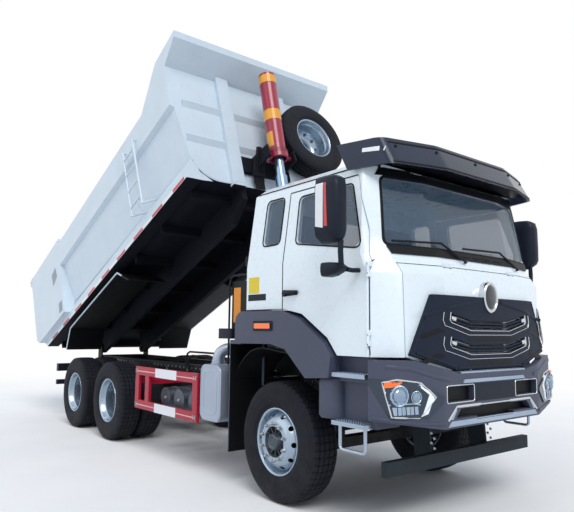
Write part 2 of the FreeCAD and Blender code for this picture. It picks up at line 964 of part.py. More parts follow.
def knuckle(side):
    """Steering knuckle: two lugs on the kingpin, a web, the spindle and the brake's back plate."""
    low = kingpin_boss_low_z - moving_gap - knuckle_lug_height
    high = kingpin_boss_high_z + moving_gap + knuckle_lug_height
    x = (front_axle_x - knuckle_lug_half, front_axle_x + knuckle_lug_half)
    y = (kingpin_y, knuckle_web_y)
    lugs = []
    for level in (low, high - knuckle_lug_height):
        foot = Vector(front_axle_x, kingpin_y, level)
        lugs.append(rod(foot, foot + Vector(0, 0, knuckle_lug_height), knuckle_lug_half))
        lugs.append(block(x, y, (level, level + knuckle_lug_height)))
    web = block(x, (knuckle_web_y, knuckle_web_y + knuckle_web), (low, high))
    centre_y = front_track / 2
    root = Vector(front_axle_x, knuckle_web_y, tyre_radius)
    hub_inner = centre_y + disc_offset - disc_wall - brake_width
    plate = rod(root, Vector(front_axle_x, hub_inner - moving_gap, tyre_radius), brake_radius)
    spindle_end = centre_y + disc_offset - rim_wall - moving_gap
    spindle = rod(root, Vector(front_axle_x, spindle_end, tyre_radius), spindle_radius)
    bore = rod(
        Vector(front_axle_x, kingpin_y, low - cut_overrun),
        Vector(front_axle_x, kingpin_y, high + cut_overrun),
        kingpin_radius + bearing_gap,
    )
    shape = joined(lugs + [web, plate, spindle]).cut(bore)
    return shape if side > 0 else mirrored(shape)


def rear_bogie():
    """Two driven axle casings on a pair of leaf packs that rock on a trunnion."""
    parts = []
    for x in rear_axle_xs:
        centre = Vector(x, 0, tyre_radius)
        end = Vector(0, rear_spindle_end_y - fit_gap, 0)
        parts.append(rod(centre - end, centre + end, axle_casing_radius))
        bowl = Vector(axle_bowl_half, 0, 0)
        parts.append(rod(centre - bowl, centre + bowl, axle_bowl_radius))
        top = bogie_spring_low_z + fit_gap
        spring_y = (bogie_spring_y - bogie_spring_width / 2, bogie_spring_y + bogie_spring_width / 2)
        seat_x = (x - axle_casing_radius, x + axle_casing_radius)
        seat = block(seat_x, spring_y, (tyre_radius, top))
        parts += [seat, mirrored(seat)]
    half = tandem_spacing / 2 + axle_casing_radius
    leaves = leaf_pack(
        bogie_x, bogie_spring_y, bogie_spring_width, half, bogie_spring_low_z, bogie_spring_pack, 0.0
    )
    parts += [leaves, mirrored(leaves)]
    web = rail_outer_y - rail_flange
    stub_start = Vector(bogie_x, web, trunnion_z)
    stub_end = Vector(bogie_x, bogie_spring_y + bogie_spring_width / 2, trunnion_z)
    stub = rod(stub_start, stub_end, trunnion_radius)
    lift = block(
        (bogie_x - trunnion_radius, bogie_x + trunnion_radius),
        (bogie_spring_y - bogie_spring_width / 2, bogie_spring_y + bogie_spring_width / 2),
        (trunnion_z, bogie_spring_low_z + fit_gap),
    )
    parts += [stub, mirrored(stub), lift, mirrored(lift)]
    x = (bogie_x - trunnion_radius, bogie_x + trunnion_radius)
    hanger = block(x, (web, rail_outer_y), (trunnion_z, rail_low_z))
    parts += [hanger, mirrored(hanger)]
    return joined(parts)


def engine_block():
    """The engine as one plain block under the cab, between the rails."""
    outline = [
        (ahead(engine_back), engine_low_z),
        (ahead(engine_back), engine_high_z),
        (ahead(engine_step_x), engine_high_z),
        (ahead(arch_front_x), engine_step_z),
        (ahead(engine_front), engine_step_z),
        (ahead(engine_front), engine_low_z),
    ]
    return side_prism(outline, (-engine_half_width, engine_half_width))


def driveline():
    """Gearbox behind the engine, propeller shaft to the first rear axle and on to the second."""
    level = Vector(0, 0, 1)
    box_back = Vector(ahead(gearbox_back), 0, gearbox_z)
    box_front = Vector(ahead(engine_back), 0, gearbox_z)
    first = Vector(rear_axle_xs[0] + axle_bowl_half, 0, tyre_radius)
    second_start = Vector(rear_axle_xs[0] - axle_bowl_half, 0, tyre_radius)
    second_end = Vector(rear_axle_xs[1] + axle_bowl_half, 0, tyre_radius)
    collar = Vector(shaft_collar, 0, 0)
    return joined(
        [
            rod(box_back, box_front, gearbox_radius),
            rod(box_back, first + collar * corner_share, shaft_radius),
            rod(first, first + collar, shaft_collar_radius),
            rod(box_back - collar, box_back, shaft_collar_radius),
        ]
    ), rod(second_start, second_end, shaft_radius)


def cab_side_outline(inset, floor):
    """Side view of the cab: back, roof, brow, nose, sill and wheel arch."""
    return [
        (ahead(cab_back) + inset, cab_back_bottom_z + floor),
        (ahead(cab_back) + inset, cab_roof_z - inset),
        (ahead(cab_roof_front) - inset, cab_roof_z - inset),
        (ahead(cab_brow_x) - inset, cab_brow_z - inset),
        (ahead(cab_nose_x), cab_belt_z),
        (ahead(cab_nose_x), cab_bottom_z + floor),
        (ahead(arch_front_x) - floor, cab_bottom_z + floor),
        (ahead(arch_rise_x) - floor / 2, arch_rise_z + floor),
        (ahead(arch_turn_x), arch_turn_z + floor),
        (ahead(arch_back_x), cab_back_bottom_z + floor),
    ]


def cab_across_outline(inset):
    """Front view of the cab: upright sides that lean in above the belt to a rounded roof."""
    right = [
        (cab_half_width - inset, cab_bottom_z - cut_overrun),
        (cab_half_width - inset, cab_belt_z),
        (cab_eave_half_width - inset, cab_eave_z - inset / 2),
        (cab_roof_edge_y - inset, cab_roof_z - inset / 2),
    ]
    return right + [(-y, z) for y, z in reversed(right)]


def cab_plan_outline(inset, side, cheek, nose):
    """Plan of the cab with its bowed front and turned corners."""
    half = cab_half_width
    right = [
        (ahead(cab_back), half + cut_overrun),
        (ahead(side), half + cut_overrun),
        (ahead(cheek) - inset, cab_cheek_y),
        (ahead(nose) - inset, cab_nose_half_width),
    ]
    return right + [(x, -y) for x, y in reversed(right)]


def nose_plan(inset):
    """Plan of the cab's front below the windscreen."""
    return cab_plan_outline(inset, cab_side_front - inset, cab_cheek_x, cab_nose_x)


def windscreen_plan(inset):
    """Plan of the windscreen's foot."""
    return cab_plan_outline(
        inset, windscreen_side_x - inset, windscreen_cheek_x, windscreen_foot_x
    )


def nose_form(inset, low):
    """The bowed front from a low level up, drawn back to the windscreen's foot at its top."""
    upright = plan_prism(nose_plan(inset), (low, cab_nose_z), cab_plan_radii)
    ends = [
        rounded_wire(in_xy(nose_plan(inset), cab_nose_z), cab_plan_radii),
        rounded_wire(in_xy(windscreen_plan(inset), cab_belt_z), cab_plan_radii),
    ]
    return joined([upright, Part.makeLoft(ends, True, True)])


def cab_form(inset, floor, front_inset):
    """The cab's outer shape, or a shape inside it by the insets given."""
    lower = nose_form(front_inset, cab_bottom_z - cut_overrun)
    rise = cab_roof_z + cut_overrun - cab_belt_z
    slant = Vector(-windscreen_rake * rise / windscreen_rake_height, 0, rise)
    upper = prism(in_xy(windscreen_plan(inset), cab_belt_z), slant, cab_plan_radii)
    spread = (-cab_half_width - cut_overrun * 2, cab_half_width + cut_overrun * 2)
    back = block((ahead(cab_back), ahead(0)), spread, (cab_belt_z, cab_roof_z + cut_overrun))
    whole = joined([lower, upper, back])
    side = side_prism(cab_side_outline(inset, floor), spread)
    across = front_prism(
        cab_across_outline(inset),
        (ahead(cab_back) - cut_overrun, ahead(cab_nose_x) + cut_overrun),
    )
    return whole.common(side).common(across)


def hinge(start, along, length, fixed_web, moving_web):
    """A pinned hinge: fixed lugs, moving barrel, and the room that each needs in the other."""
    third = along * (length / 3)
    marks = [start, start + third, start + third * 2, start + third * 3]
    pin = rod(start, marks[3], hinge_rod_radius)
    lugs = [rod(marks[0], marks[1], hinge_lug_radius), rod(marks[2], marks[3], hinge_lug_radius)]
    fixed_zone = [
        rod(marks[0], marks[1], hinge_room_radius),
        rod(marks[2], marks[3], hinge_room_radius),
    ]
    play = along * fit_gap
    barrel = rod(marks[1] + play, marks[2] - play, hinge_lug_radius)
    moving_zone = rod(marks[1] + play, marks[2] - play, hinge_room_radius)
    span = [block(*fixed_web(marks[0], marks[1])), block(*fixed_web(marks[2], marks[3]))]
    leaf = block(*moving_web(marks[1] + play, marks[2] - play))
    bore = rod(start, marks[3], hinge_rod_radius + bearing_gap)
    fixed = joined(lugs + span + [pin])
    moving = joined([barrel, leaf]).cut(bore)
    return fixed, moving, Part.makeCompound(fixed_zone), moving_zone


def door_hinges():
    """The left door's hinges, low and high on its front edge."""
    def fixed_web(low, high):
        return (
            (low.x + moving_gap - hinge_set, low.x + hinge_web),
            (low.y - hinge_bite, low.y),
            (low.z, high.z),
        )

    def moving_web(low, high):
        return (low.x - hinge_web, low.x - hinge_set), (low.y - hinge_bite, low.y), (low.z, high.z)

    return [
        hinge(
            Vector(ahead(door_front) + hinge_set, cab_half_width, z),
            Vector(0, 0, 1),
            hinge_length,
            fixed_web,
            moving_web,
        )
        for z in door_hinge_levels
    ]


def lid_hinges():
    """The lid's hinges on its top edge."""
    def fixed_web(low, high):
        return (low.x - hinge_bite, low.x), (low.y, high.y), (low.z - lid_hinge_set, low.z + hinge_web)

    def moving_web(low, high):
        return (
            (low.x - hinge_bite / 2, low.x),
            (low.y, high.y),
            (low.z - hinge_bite, low.z - lid_hinge_rise),
        )

    level = lid_top_z + lid_hinge_rise
    x = windscreen_x(0.0, level) + lid_hinge_rise
    return [
        hinge(Vector(x, y, level), Vector(0, 1, 0), hinge_length, fixed_web, moving_web)
        for y in (lid_hinge_y, -lid_hinge_y - hinge_length)
    ]


def door_outline(growth):
    """Side view of a door's edges, or the opening for it."""
    return [
        (ahead(door_back) - growth, cab_bottom_z - cut_overrun),
        (ahead(door_back) - growth, door_top_z + growth),
        (ahead(door_top_front) + growth, door_top_z + growth),
        (ahead(door_front) + growth, door_turn_z + growth),
        (ahead(door_front) + growth, cab_bottom_z - cut_overrun),
    ]


def door_window_outline():
    """Side view of the window in a door."""
    return [
        (ahead(door_window_back), door_window_low_back_z),
        (ahead(door_window_top_back), door_window_top_z),
        (ahead(door_window_top_front), door_window_top_z),
        (ahead(door_window_front), door_window_low_front_z),
    ]


def side_zone(depth):
    """Everything further out than a depth below the right flank's skin, on the left side."""
    outline = [
        (cab_half_width - depth, cab_bottom_z - cut_overrun * 2),
        (cab_half_width - depth, cab_belt_z),
        (cab_eave_half_width - depth, cab_eave_z),
        (cab_half_width + cut_overrun * 2, cab_eave_z),
        (cab_half_width + cut_overrun * 2, cab_bottom_z - cut_overrun * 2),
    ]
    return front_prism(outline, (ahead(cab_back) - cut_overrun, ahead(cab_nose_x) + cut_overrun))


def lid_outline(growth):
    """Front view of the lid below the windscreen."""
    right = [
        (lid_top_half_width + growth, lid_top_z + growth),
        (lid_half_width + growth, lid_side_low_z - growth),
        (lid_low_half_width, lid_low_z - growth),
    ]
    return right + [(-y, z) for y, z in reversed(right)]


def windscreen_outline():
    """Front view of the windscreen's opening."""
    return [
        (-windscreen_low_half, windscreen_low_z),
        (-windscreen_high_half, windscreen_high_z),
        (windscreen_high_half, windscreen_high_z),
        (windscreen_low_half, windscreen_low_z),
    ]


def window_cutters():
    """Shapes that pass through the fixed windows, with the pieces of glass they bound."""
    fore = (ahead(windscreen_side_x) - cab_front_wall * 3, ahead(cab_nose_x) + cut_overrun)
    screen = front_prism(windscreen_outline(), fore, window_corner)
    quarter_outline = [
        (ahead(quarter_back), quarter_low_z),
        (ahead(quarter_back), quarter_high_z),
        (ahead(quarter_front), quarter_high_z),
        (ahead(quarter_front), quarter_low_z),
    ]
    spread = cab_half_width + cut_overrun
    quarters = side_prism(quarter_outline, (-spread, spread), window_corner)
    rear_outline = [
        (-rear_window_half, rear_window_low_z),
        (-rear_window_half, rear_window_high_z),
        (rear_window_half, rear_window_high_z),
        (rear_window_half, rear_window_low_z),
    ]
    back = (ahead(cab_back) - cut_overrun, ahead(cab_back) + cab_wall + cut_overrun)
    rear = front_prism(rear_outline, back, window_corner)
    return screen, quarters, rear


def cab_parts():
    """Cab shell, its fixed glass, two doors with their glass, and the front lid's panel."""
    outer = cab_form(0.0, 0.0, 0.0)
    inner = cab_form(cab_wall, floor_wall, cab_front_wall)
    glass_skin = cab_form(glass_depth, 0.0, glass_depth).cut(
        cab_form(glass_depth + glass_wall, 0.0, glass_depth + glass_wall)
    )
    cutters = window_cutters()
    flank = cab_half_width + cut_overrun * 2
    opening = side_prism(door_outline(moving_gap), (0, flank)).common(
        side_zone(door_wall + moving_gap)
    )
    leaf = side_prism(door_outline(0.0), (0, flank)).common(side_zone(door_wall))
    window = side_prism(door_window_outline(), (0, flank), window_corner)
    door = outer.common(leaf).cut(window)
    door_glass = glass_skin.common(window).common(side_zone(door_wall))
    front = (ahead(cab_side_front), ahead(cab_nose_x) + cut_overrun)
    lid_hole = front_prism(lid_outline(moving_gap), front)
    lid_depth = lid_wall + lid_room
    lid_hole = lid_hole.cut(nose_form(lid_depth, cab_bottom_z - cut_overrun * 2))
    lid = nose_form(0.0, lid_low_z).cut(nose_form(lid_wall, lid_low_z - cut_overrun))
    lid = lid.common(front_prism(lid_outline(0.0), front))
    shell = outer.cut(inner).cut(Part.makeCompound(list(cutters)))
    shell = shell.cut(Part.makeCompound([opening, mirrored(opening)])).cut(lid_hole)
    for fixed, moving, fixed_zone, moving_zone in door_hinges():
        shell = joined([shell.cut(pair(moving_zone)), fixed, mirrored(fixed)])
        door = joined([biggest(door).cut(fixed_zone), moving])
    for fixed, moving, fixed_zone, moving_zone in lid_hinges():
        shell = joined([shell.cut(moving_zone), fixed])
        lid = joined([biggest(lid).cut(fixed_zone), moving])
    panes = [glass_skin.common(cutter) for cutter in cutters[:1]]
    panes.append(glass_skin.common(cutters[1]))
    back_glass = block(
        (ahead(cab_back) + glass_depth, ahead(cab_back) + glass_depth + glass_wall),
        (-rear_window_half, rear_window_half),
        (rear_window_low_z, rear_window_high_z),
    )
    panes.append(back_glass.common(cutters[2]))
    glass = Part.makeCompound([solid for pane in panes for solid in pane.Solids])
    return shell, glass, door, door_glass, lid


def biggest(shape):
    """The largest solid of a shape."""
    return max(shape.Solids, key=lambda solid: solid.Volume)


def grille():
    """Dark raised grille on the lid with two shallow U-shaped slots and their bars."""
    right = [
        (grille_top_half, grille_top_z),
        (grille_brow_half, grille_top_z),
        (grille_side_half, grille_side_z),
        (grille_low_half, lid_low_z),
    ]
    outline = right + [(-y, z) for y, z in reversed(right)]
    reach = cab_plan_outline(-grille_depth, cab_side_front, cab_cheek_x, cab_nose_x)
    panel = prism(in_xy(reach, lid_low_z), Vector(0, 0, grille_top_z - lid_low_z))
    behind = cab_plan_outline(-fit_gap, cab_side_front, cab_cheek_x, cab_nose_x)
    panel = panel.cut(
        prism(
            in_xy(behind, lid_low_z - cut_overrun),
            Vector(0, 0, grille_top_z - lid_low_z + cut_overrun * 2),
        )
    )
    front = (ahead(cab_side_front), ahead(cab_nose_x) + grille_depth + cut_overrun)
    panel = panel.common(front_prism(outline, front))
    slots = []
    for base in (slot_upper_z, slot_lower_z):
        slot = [
            (-slot_half, base + slot_end_rise),
            (-slot_half, base + slot_end_rise + slot_height),
            (-slot_half / 2, base + slot_height),
            (slot_half / 2, base + slot_height),
            (slot_half, base + slot_end_rise + slot_height),
            (slot_half, base + slot_end_rise),
            (slot_half / 2, base),
            (-slot_half / 2, base),
        ]
        pitch = slot_height / (slot_bar_count + 1)
        hole = front_prism(slot, front)
        for index in range(slot_bar_count):
            level = base + pitch * (index + 1) - slot_bar / 2
            bar = [
                (-slot_half - cut_overrun, level + slot_end_rise),
                (-slot_half - cut_overrun, level + slot_end_rise + slot_bar),
                (-slot_half / 2, level + slot_bar),
                (slot_half / 2, level + slot_bar),
                (slot_half + cut_overrun, level + slot_end_rise + slot_bar),
                (slot_half + cut_overrun, level + slot_end_rise),
                (slot_half / 2, level),
                (-slot_half / 2, level),
            ]
            hole = hole.cut(front_prism(bar, front))
        slots.append(hole)
    return biggest(panel.cut(Part.makeCompound(slots)))


def door_handle():
    """Pull handle near the door's back edge, on the left side."""
    x = ahead(door_back) + handle_inset
    y = (cab_half_width, cab_half_width + handle_depth)
    return block((x, x + handle_length), y, (handle_z - handle_height / 2, handle_z + handle_height / 2))


def mirror():
    """Main and lower mirror housings on their arms, with the door's handle, on the left side."""
    housing = plan_prism(
        [
            (ahead(mirror_back), mirror_y - mirror_width / 2),
            (ahead(mirror_front), mirror_y - mirror_width / 4),
            (ahead(mirror_front), mirror_y + mirror_width / 4),
            (ahead(mirror_back), mirror_y + mirror_width / 2),
        ],
        (mirror_low_z, mirror_high_z),
        mirror_corner,
    )
    small = plan_prism(
        [
            (ahead(mirror_back), small_mirror_y - small_mirror_width / 2),
            (ahead(mirror_front), small_mirror_y - small_mirror_width / 2),
            (ahead(mirror_front), small_mirror_y + small_mirror_width / 2),
            (ahead(mirror_back), small_mirror_y + small_mirror_width / 2),
        ],
        (small_mirror_low_z, small_mirror_high_z),
        mirror_corner,
    )
    arms = []
    lower_level = (small_mirror_low_z + small_mirror_high_z) / 2
    x = ahead(mirror_arm_x)
    root = Vector(x, cab_half_width, lower_level)
    arms.append(rod(root, Vector(x, small_mirror_y, lower_level), mirror_arm_radius))
    post_top = mirror_low_z + mirror_corner
    arms.append(
        rod(
            Vector(x, small_mirror_y, lower_level),
            Vector(x, mirror_y - mirror_width / 8, post_top),
            mirror_arm_radius,
        )
    )
    return joined([housing, small] + arms)


def bumper():
    """Wrap-round bumper, open behind, with two windows, a lower grille and lamp pockets."""
    def plan(inset):
        half = bumper_half_width - inset
        right = [
            (ahead(bumper_back) - (cut_overrun if inset else 0), half),
            (ahead(bumper_cheek_x) - inset, bumper_cheek_y - inset / 2),
            (ahead(bumper_front) - inset, bumper_flat_half),
        ]
        return right + [(x, -y) for x, y in reversed(right)]

    tall = (bumper_low_z, bumper_high_z)
    radii = [0.0, bumper_wall * 2, bumper_wall * 3, bumper_wall * 3, bumper_wall * 2, 0.0]
    skin = plan_prism(plan(0.0), tall, radii)
    hollow = plan_prism(plan(bumper_wall), (tall[0] - cut_overrun, tall[1] + cut_overrun), radii)
    right = [
        (grille_low_half, bumper_mid_high_z),
        (grille_side_half, bumper_high_z),
        (bumper_half_width + cut_overrun, bumper_high_z),
        (bumper_half_width + cut_overrun, bumper_side_low_z),
        (bumper_flat_half, bumper_low_z),
    ]
    outline = right + [(-y, z) for y, z in reversed(right)]
    reach = (ahead(bumper_back) - cut_overrun, ahead(bumper_front) + cut_overrun)
    shape = skin.cut(hollow).common(front_prism(outline, reach))
    window = [
        (bumper_window_inner, bumper_window_low_z),
        (bumper_window_outer, bumper_window_low_z),
        (bumper_window_outer, bumper_window_high_z),
        (bumper_window_inner, bumper_window_high_z),
    ]
    window_hole = front_prism(window, reach)
    grille_hole = front_prism(
        [
            (-lower_grille_low_half, lower_grille_low_z),
            (lower_grille_low_half, lower_grille_low_z),
            (lower_grille_top_half, lower_grille_high_z),
            (-lower_grille_top_half, lower_grille_high_z),
        ],
        reach,
    )
    lamp_hole = joined([headlamp_form(fit_gap), headlamp_form(0.0)])
    middle = (bumper_low_z + bumper_window_low_z) / 2
    arm = block(
        (ahead(rail_front) + fit_gap, ahead(bumper_front) - bumper_wall),
        (rail_inner_y, rail_outer_y),
        (middle, middle + bumper_wall),
    )
    shape = joined([biggest(shape), arm, mirrored(arm)])
    return shape.cut(
        Part.makeCompound(
            [window_hole, mirrored(window_hole), grille_hole, lamp_hole, mirrored(lamp_hole)]
        )
    )


headlamp_shares = [(1.0, 1.0), (0.52, 0.92), (0.0, 0.48), (0.29, 0.0), (0.84, 0.05)]


def headlamp_form(growth):
    """Swept-back headlamp body on the left side, or the pocket for it."""
    width = headlamp_outer_y - headlamp_inner_y
    height = headlamp_high_z - headlamp_low_z
    outline = [
        (headlamp_inner_y + width * across, headlamp_low_z + height * up)
        for across, up in headlamp_shares
    ]
    outer = [
        (ahead(bumper_back), bumper_half_width),
        (ahead(bumper_cheek_x), bumper_cheek_y),
        (ahead(bumper_front), bumper_flat_half),
    ]
    stand = headlamp_stand
    plan = [(x + stand, y + stand) for x, y in outer]
    plan += [(x - headlamp_depth - growth, y - headlamp_depth - growth) for x, y in reversed(outer)]
    body = plan_prism(plan, (headlamp_low_z - cut_overrun, headlamp_high_z + cut_overrun))
    reach = (ahead(bumper_back) - cut_overrun * 4, ahead(bumper_front) + cut_overrun)
    middle_y = headlamp_inner_y + width / 2
    middle_z = headlamp_low_z + height / 2
    grown = [
        (y + math.copysign(growth, y - middle_y), z + math.copysign(growth, z - middle_z))
        for y, z in outline
    ]
    return body.common(front_prism(grown, reach))


def front_lamps():
    """Both headlamps and the amber markers on the fenders."""
    marker = block(
        (ahead(marker_back), ahead(marker_front)),
        (fender_out_y + fit_gap, fender_out_y + marker_stand),
        (marker_low_z, marker_high_z),
    )
    lamp = headlamp_form(0.0)
    return Part.makeCompound([lamp, mirrored(lamp), marker, mirrored(marker)])


def fender_outline():
    """Side view of a front fender: crown, shoulder and the wheel's opening."""
    return [
        (ahead(fender_back), fender_low_back_z),
        (ahead(fender_back), fender_top_z),
        (ahead(arch_back_x), fender_top_z),
        (ahead(arch_turn_x), arch_turn_z - fender_skin),
        (ahead(arch_rise_x) - moving_gap, arch_rise_z - fender_skin),
        (ahead(arch_front_x) - fender_skin, cab_bottom_z - moving_gap),
        (ahead(fender_toe_x), fender_toe_z),
        (ahead(fender_heel_x), fender_heel_z),
        (ahead(arch_back_x) + fender_skin * 2, fender_inner_top_z - fender_skin),
        (ahead(0), fender_inner_top_z),
    ]


def front_fenders():
    """Two fenders with their step wells and the mudflaps behind the wheels."""
    radii = [0.0, fender_skin * 3, fender_skin * 4] + [fender_skin] * 6 + [fender_skin * 2]
    radii[6] = 0.0
    radii[7] = 0.0
    crown = side_prism(fender_outline(), (fender_in_y, fender_out_y), radii)
    well_x = (ahead(step_back) - fender_skin, ahead(step_front))
    well_z = (step_lower_z, cab_bottom_z - moving_gap * 2)
    well = block(well_x, (step_well_in_y, step_well_out_y), well_z)
    pocket = block(
        (ahead(step_back), ahead(step_front) - fender_skin),
        (step_in_y, step_well_out_y + cut_overrun),
        (step_upper_z - fit_gap, cab_bottom_z),
    )
    lower_pocket = block(
        (ahead(step_back), ahead(step_front) - fender_skin),
        (step_in_y, step_well_out_y + cut_overrun),
        (step_lower_z - cut_overrun, step_upper_z - fender_skin),
    )
    well = well.cut(Part.makeCompound([pocket, lower_pocket]))
    flap = block(
        (ahead(flap_x), ahead(flap_x) + flap_wall), (flap_in_y, flap_out_y), (flap_low_z, flap_high_z)
    )
    arm = block(
        (ahead(flap_x), ahead(fender_back) + fender_skin),
        (flap_in_y, flap_out_y),
        (flap_high_z, flap_high_z + fender_skin),
    )
    brace = block(
        (ahead(step_back), ahead(step_back) + fender_skin),
        (rail_outer_y, step_well_in_y),
        (rail_top_z - rail_height / 2, rail_top_z),
    )
    rear_brace = block(
        (ahead(fender_back), ahead(fender_back) + fender_skin),
        (rail_outer_y, fender_in_y + fender_skin),
        (rail_top_z - fender_skin * 2, rail_top_z),
    )
    post = block(
        (ahead(fender_back), ahead(fender_back) + fender_skin),
        (fender_in_y, fender_in_y + fender_skin),
        (rail_top_z - fender_skin * 2, fender_low_back_z + fender_skin),
    )
    return pair(joined([crown, well, flap, arm, brace, rear_brace, post]))


def cab_steps():
    """Aluminium treads, the pipe loops under them and the treads on the bumper."""
    x = (ahead(step_back) + fit_gap, ahead(step_front) - fender_skin - fit_gap)
    parts = []
    for level in (step_upper_z, step_lower_z):
        parts.append(block(x, (step_in_y + fit_gap, step_out_y), (level, level + step_tread)))
    y = step_out_y - step_tread
    loop_x0 = ahead(step_back) + step_tread * 2
    loop_x1 = ahead(step_front) - step_tread * 2
    points = [
        Vector(loop_x0, y, step_lower_z + fit_gap),
        Vector(loop_x0, y, step_loop_low_z),
        Vector(loop_x1, y, step_loop_low_z),
        Vector(loop_x1, y, step_lower_z + fit_gap),
    ]
    loop = bent_rod(points, step_loop_radius, step_tread)
    upper = parts[0]
    lower = joined([parts[1], loop])
    front = block(
        (ahead(bumper_front) - tread_depth, ahead(bumper_front) - fit_gap),
        (-tread_half, tread_half),
        (bumper_mid_high_z + fit_gap, bumper_mid_high_z + step_tread / 3),
    )
    return Part.makeCompound([upper, mirrored(upper), lower, mirrored(lower), front])


def front_underrun():
    """Underrun bar hung below the bumper on two arms."""
    x = (ahead(underrun_x) - underrun_depth / 2, ahead(underrun_x) + underrun_depth / 2)
    bar = block(x, (-underrun_half_width, underrun_half_width), (underrun_low_z, underrun_high_z))
    y = (underrun_arm_y - underrun_arm_wall / 2, underrun_arm_y + underrun_arm_wall / 2)
    arm = side_prism(
        [
            (ahead(underrun_x) - underrun_depth / 2, underrun_low_z),
            (ahead(underrun_x) - underrun_depth / 2 + fit_gap, underrun_high_z),
            (ahead(rail_front) - fit_gap, rail_low_z),
            (ahead(rail_front) - underrun_arm_length, rail_low_z),
            (ahead(underrun_x) - underrun_arm_length, underrun_low_z),
        ],
        y,
    )
    return joined([bar, arm, mirrored(arm)])


def sun_visor():
    """Tinted visor that bows round the windscreen's head."""
    def plan(inset):
        right = [
            (ahead(visor_side_back) - (cut_overrun if inset else 0), visor_half_width - inset),
            (ahead(visor_cheek_x) - inset, visor_cheek_y - inset),
            (ahead(visor_front) - inset, visor_front_half),
        ]
        return right + [(x, -y) for x, y in reversed(right)]

    rise = Vector(-visor_rake, 0, visor_high_z - visor_low_z)
    radii = [0.0, visor_rake, visor_rake * 2, visor_rake * 2, visor_rake, 0.0]
    outer = prism(in_xy(plan(0.0), visor_low_z), rise, radii)
    low = rise * (-cut_overrun / rise.z)
    inner = prism(in_xy(plan(visor_wall), visor_low_z), rise * (1 + 2 * cut_overrun / rise.z), radii)
    inner.translate(low)
    shape = outer.cut(inner)
    stays = []
    for y, x in ((visor_stay_y, visor_front), (visor_half_width - visor_wall, visor_cheek_x)):
        head = Vector(ahead(x) - visor_rake * 2 / 3, y, visor_low_z + visor_stay_rise)
        foot = Vector(ahead(cab_roof_front) - visor_rake / 2, min(y, cab_roof_edge_y), visor_low_z)
        stays.append(rod(foot, head, visor_stay_radius))
    stays = joined(stays + [mirrored(stay) for stay in stays])
    hull = prism(in_xy(plan(visor_wall / 2), visor_low_z), rise, radii)
    stays = stays.common(hull).cut(cab_form(0.0, 0.0, 0.0))
    return joined([shape, stays])


def bowed_x(y, middle, cheek):
    """X on a bowed front that runs from its flat middle to its cheeks."""
    share = (abs(y) - cab_nose_half_width) / (cab_cheek_y - cab_nose_half_width)
    return ahead(middle + (cheek - middle) * max(share, 0.0))


def windscreen_x(y, z):
    """X of the windscreen's outer face, or of the brow below its foot."""
    foot = bowed_x(y, windscreen_foot_x, windscreen_cheek_x)
    if z >= cab_belt_z:
        return foot - windscreen_rake * (z - cab_belt_z) / windscreen_rake_height
    nose = bowed_x(y, cab_nose_x, cab_cheek_x)
    return nose + (foot - nose) * (z - cab_nose_z) / (cab_belt_z - cab_nose_z)


def wipers():
    """Two wipers parked along the windscreen's foot."""
    arms = []
    for pivot_y in wiper_pivot_y:
        stand = wiper_radius * 2 + moving_gap
        low = Vector(windscreen_x(pivot_y, wiper_pivot_z) + stand, pivot_y, wiper_pivot_z)
        elbow_y = pivot_y - wiper_sweep * wiper_arm_share
        elbow_z = wiper_pivot_z + wiper_rise * 2
        elbow = Vector(windscreen_x(elbow_y, elbow_z) + stand, elbow_y, elbow_z)
        tip_y = pivot_y - wiper_sweep - wiper_sweep * wiper_arm_share / 2
        tip_y = max(tip_y, -cab_cheek_y)
        tip = Vector(windscreen_x(tip_y, elbow_z) + stand, tip_y, elbow_z - wiper_rise / 4)
        lean = (cab_nose_x - windscreen_foot_x) / (cab_belt_z - cab_nose_z)
        sweep = 0.0
        if abs(pivot_y) > cab_nose_half_width:
            sweep = (windscreen_foot_x - windscreen_cheek_x) / (cab_cheek_y - cab_nose_half_width)
        reach = stand - wiper_radius * math.hypot(lean, sweep) - fit_gap
        seat = low - Vector(reach, 0, 0)
        pieces = [rod(low, elbow, wiper_radius), rod(elbow, tip, wiper_radius)]
        arms.append(joined(pieces + [rod(seat, low, wiper_radius)]))
    return Part.makeCompound(arms)


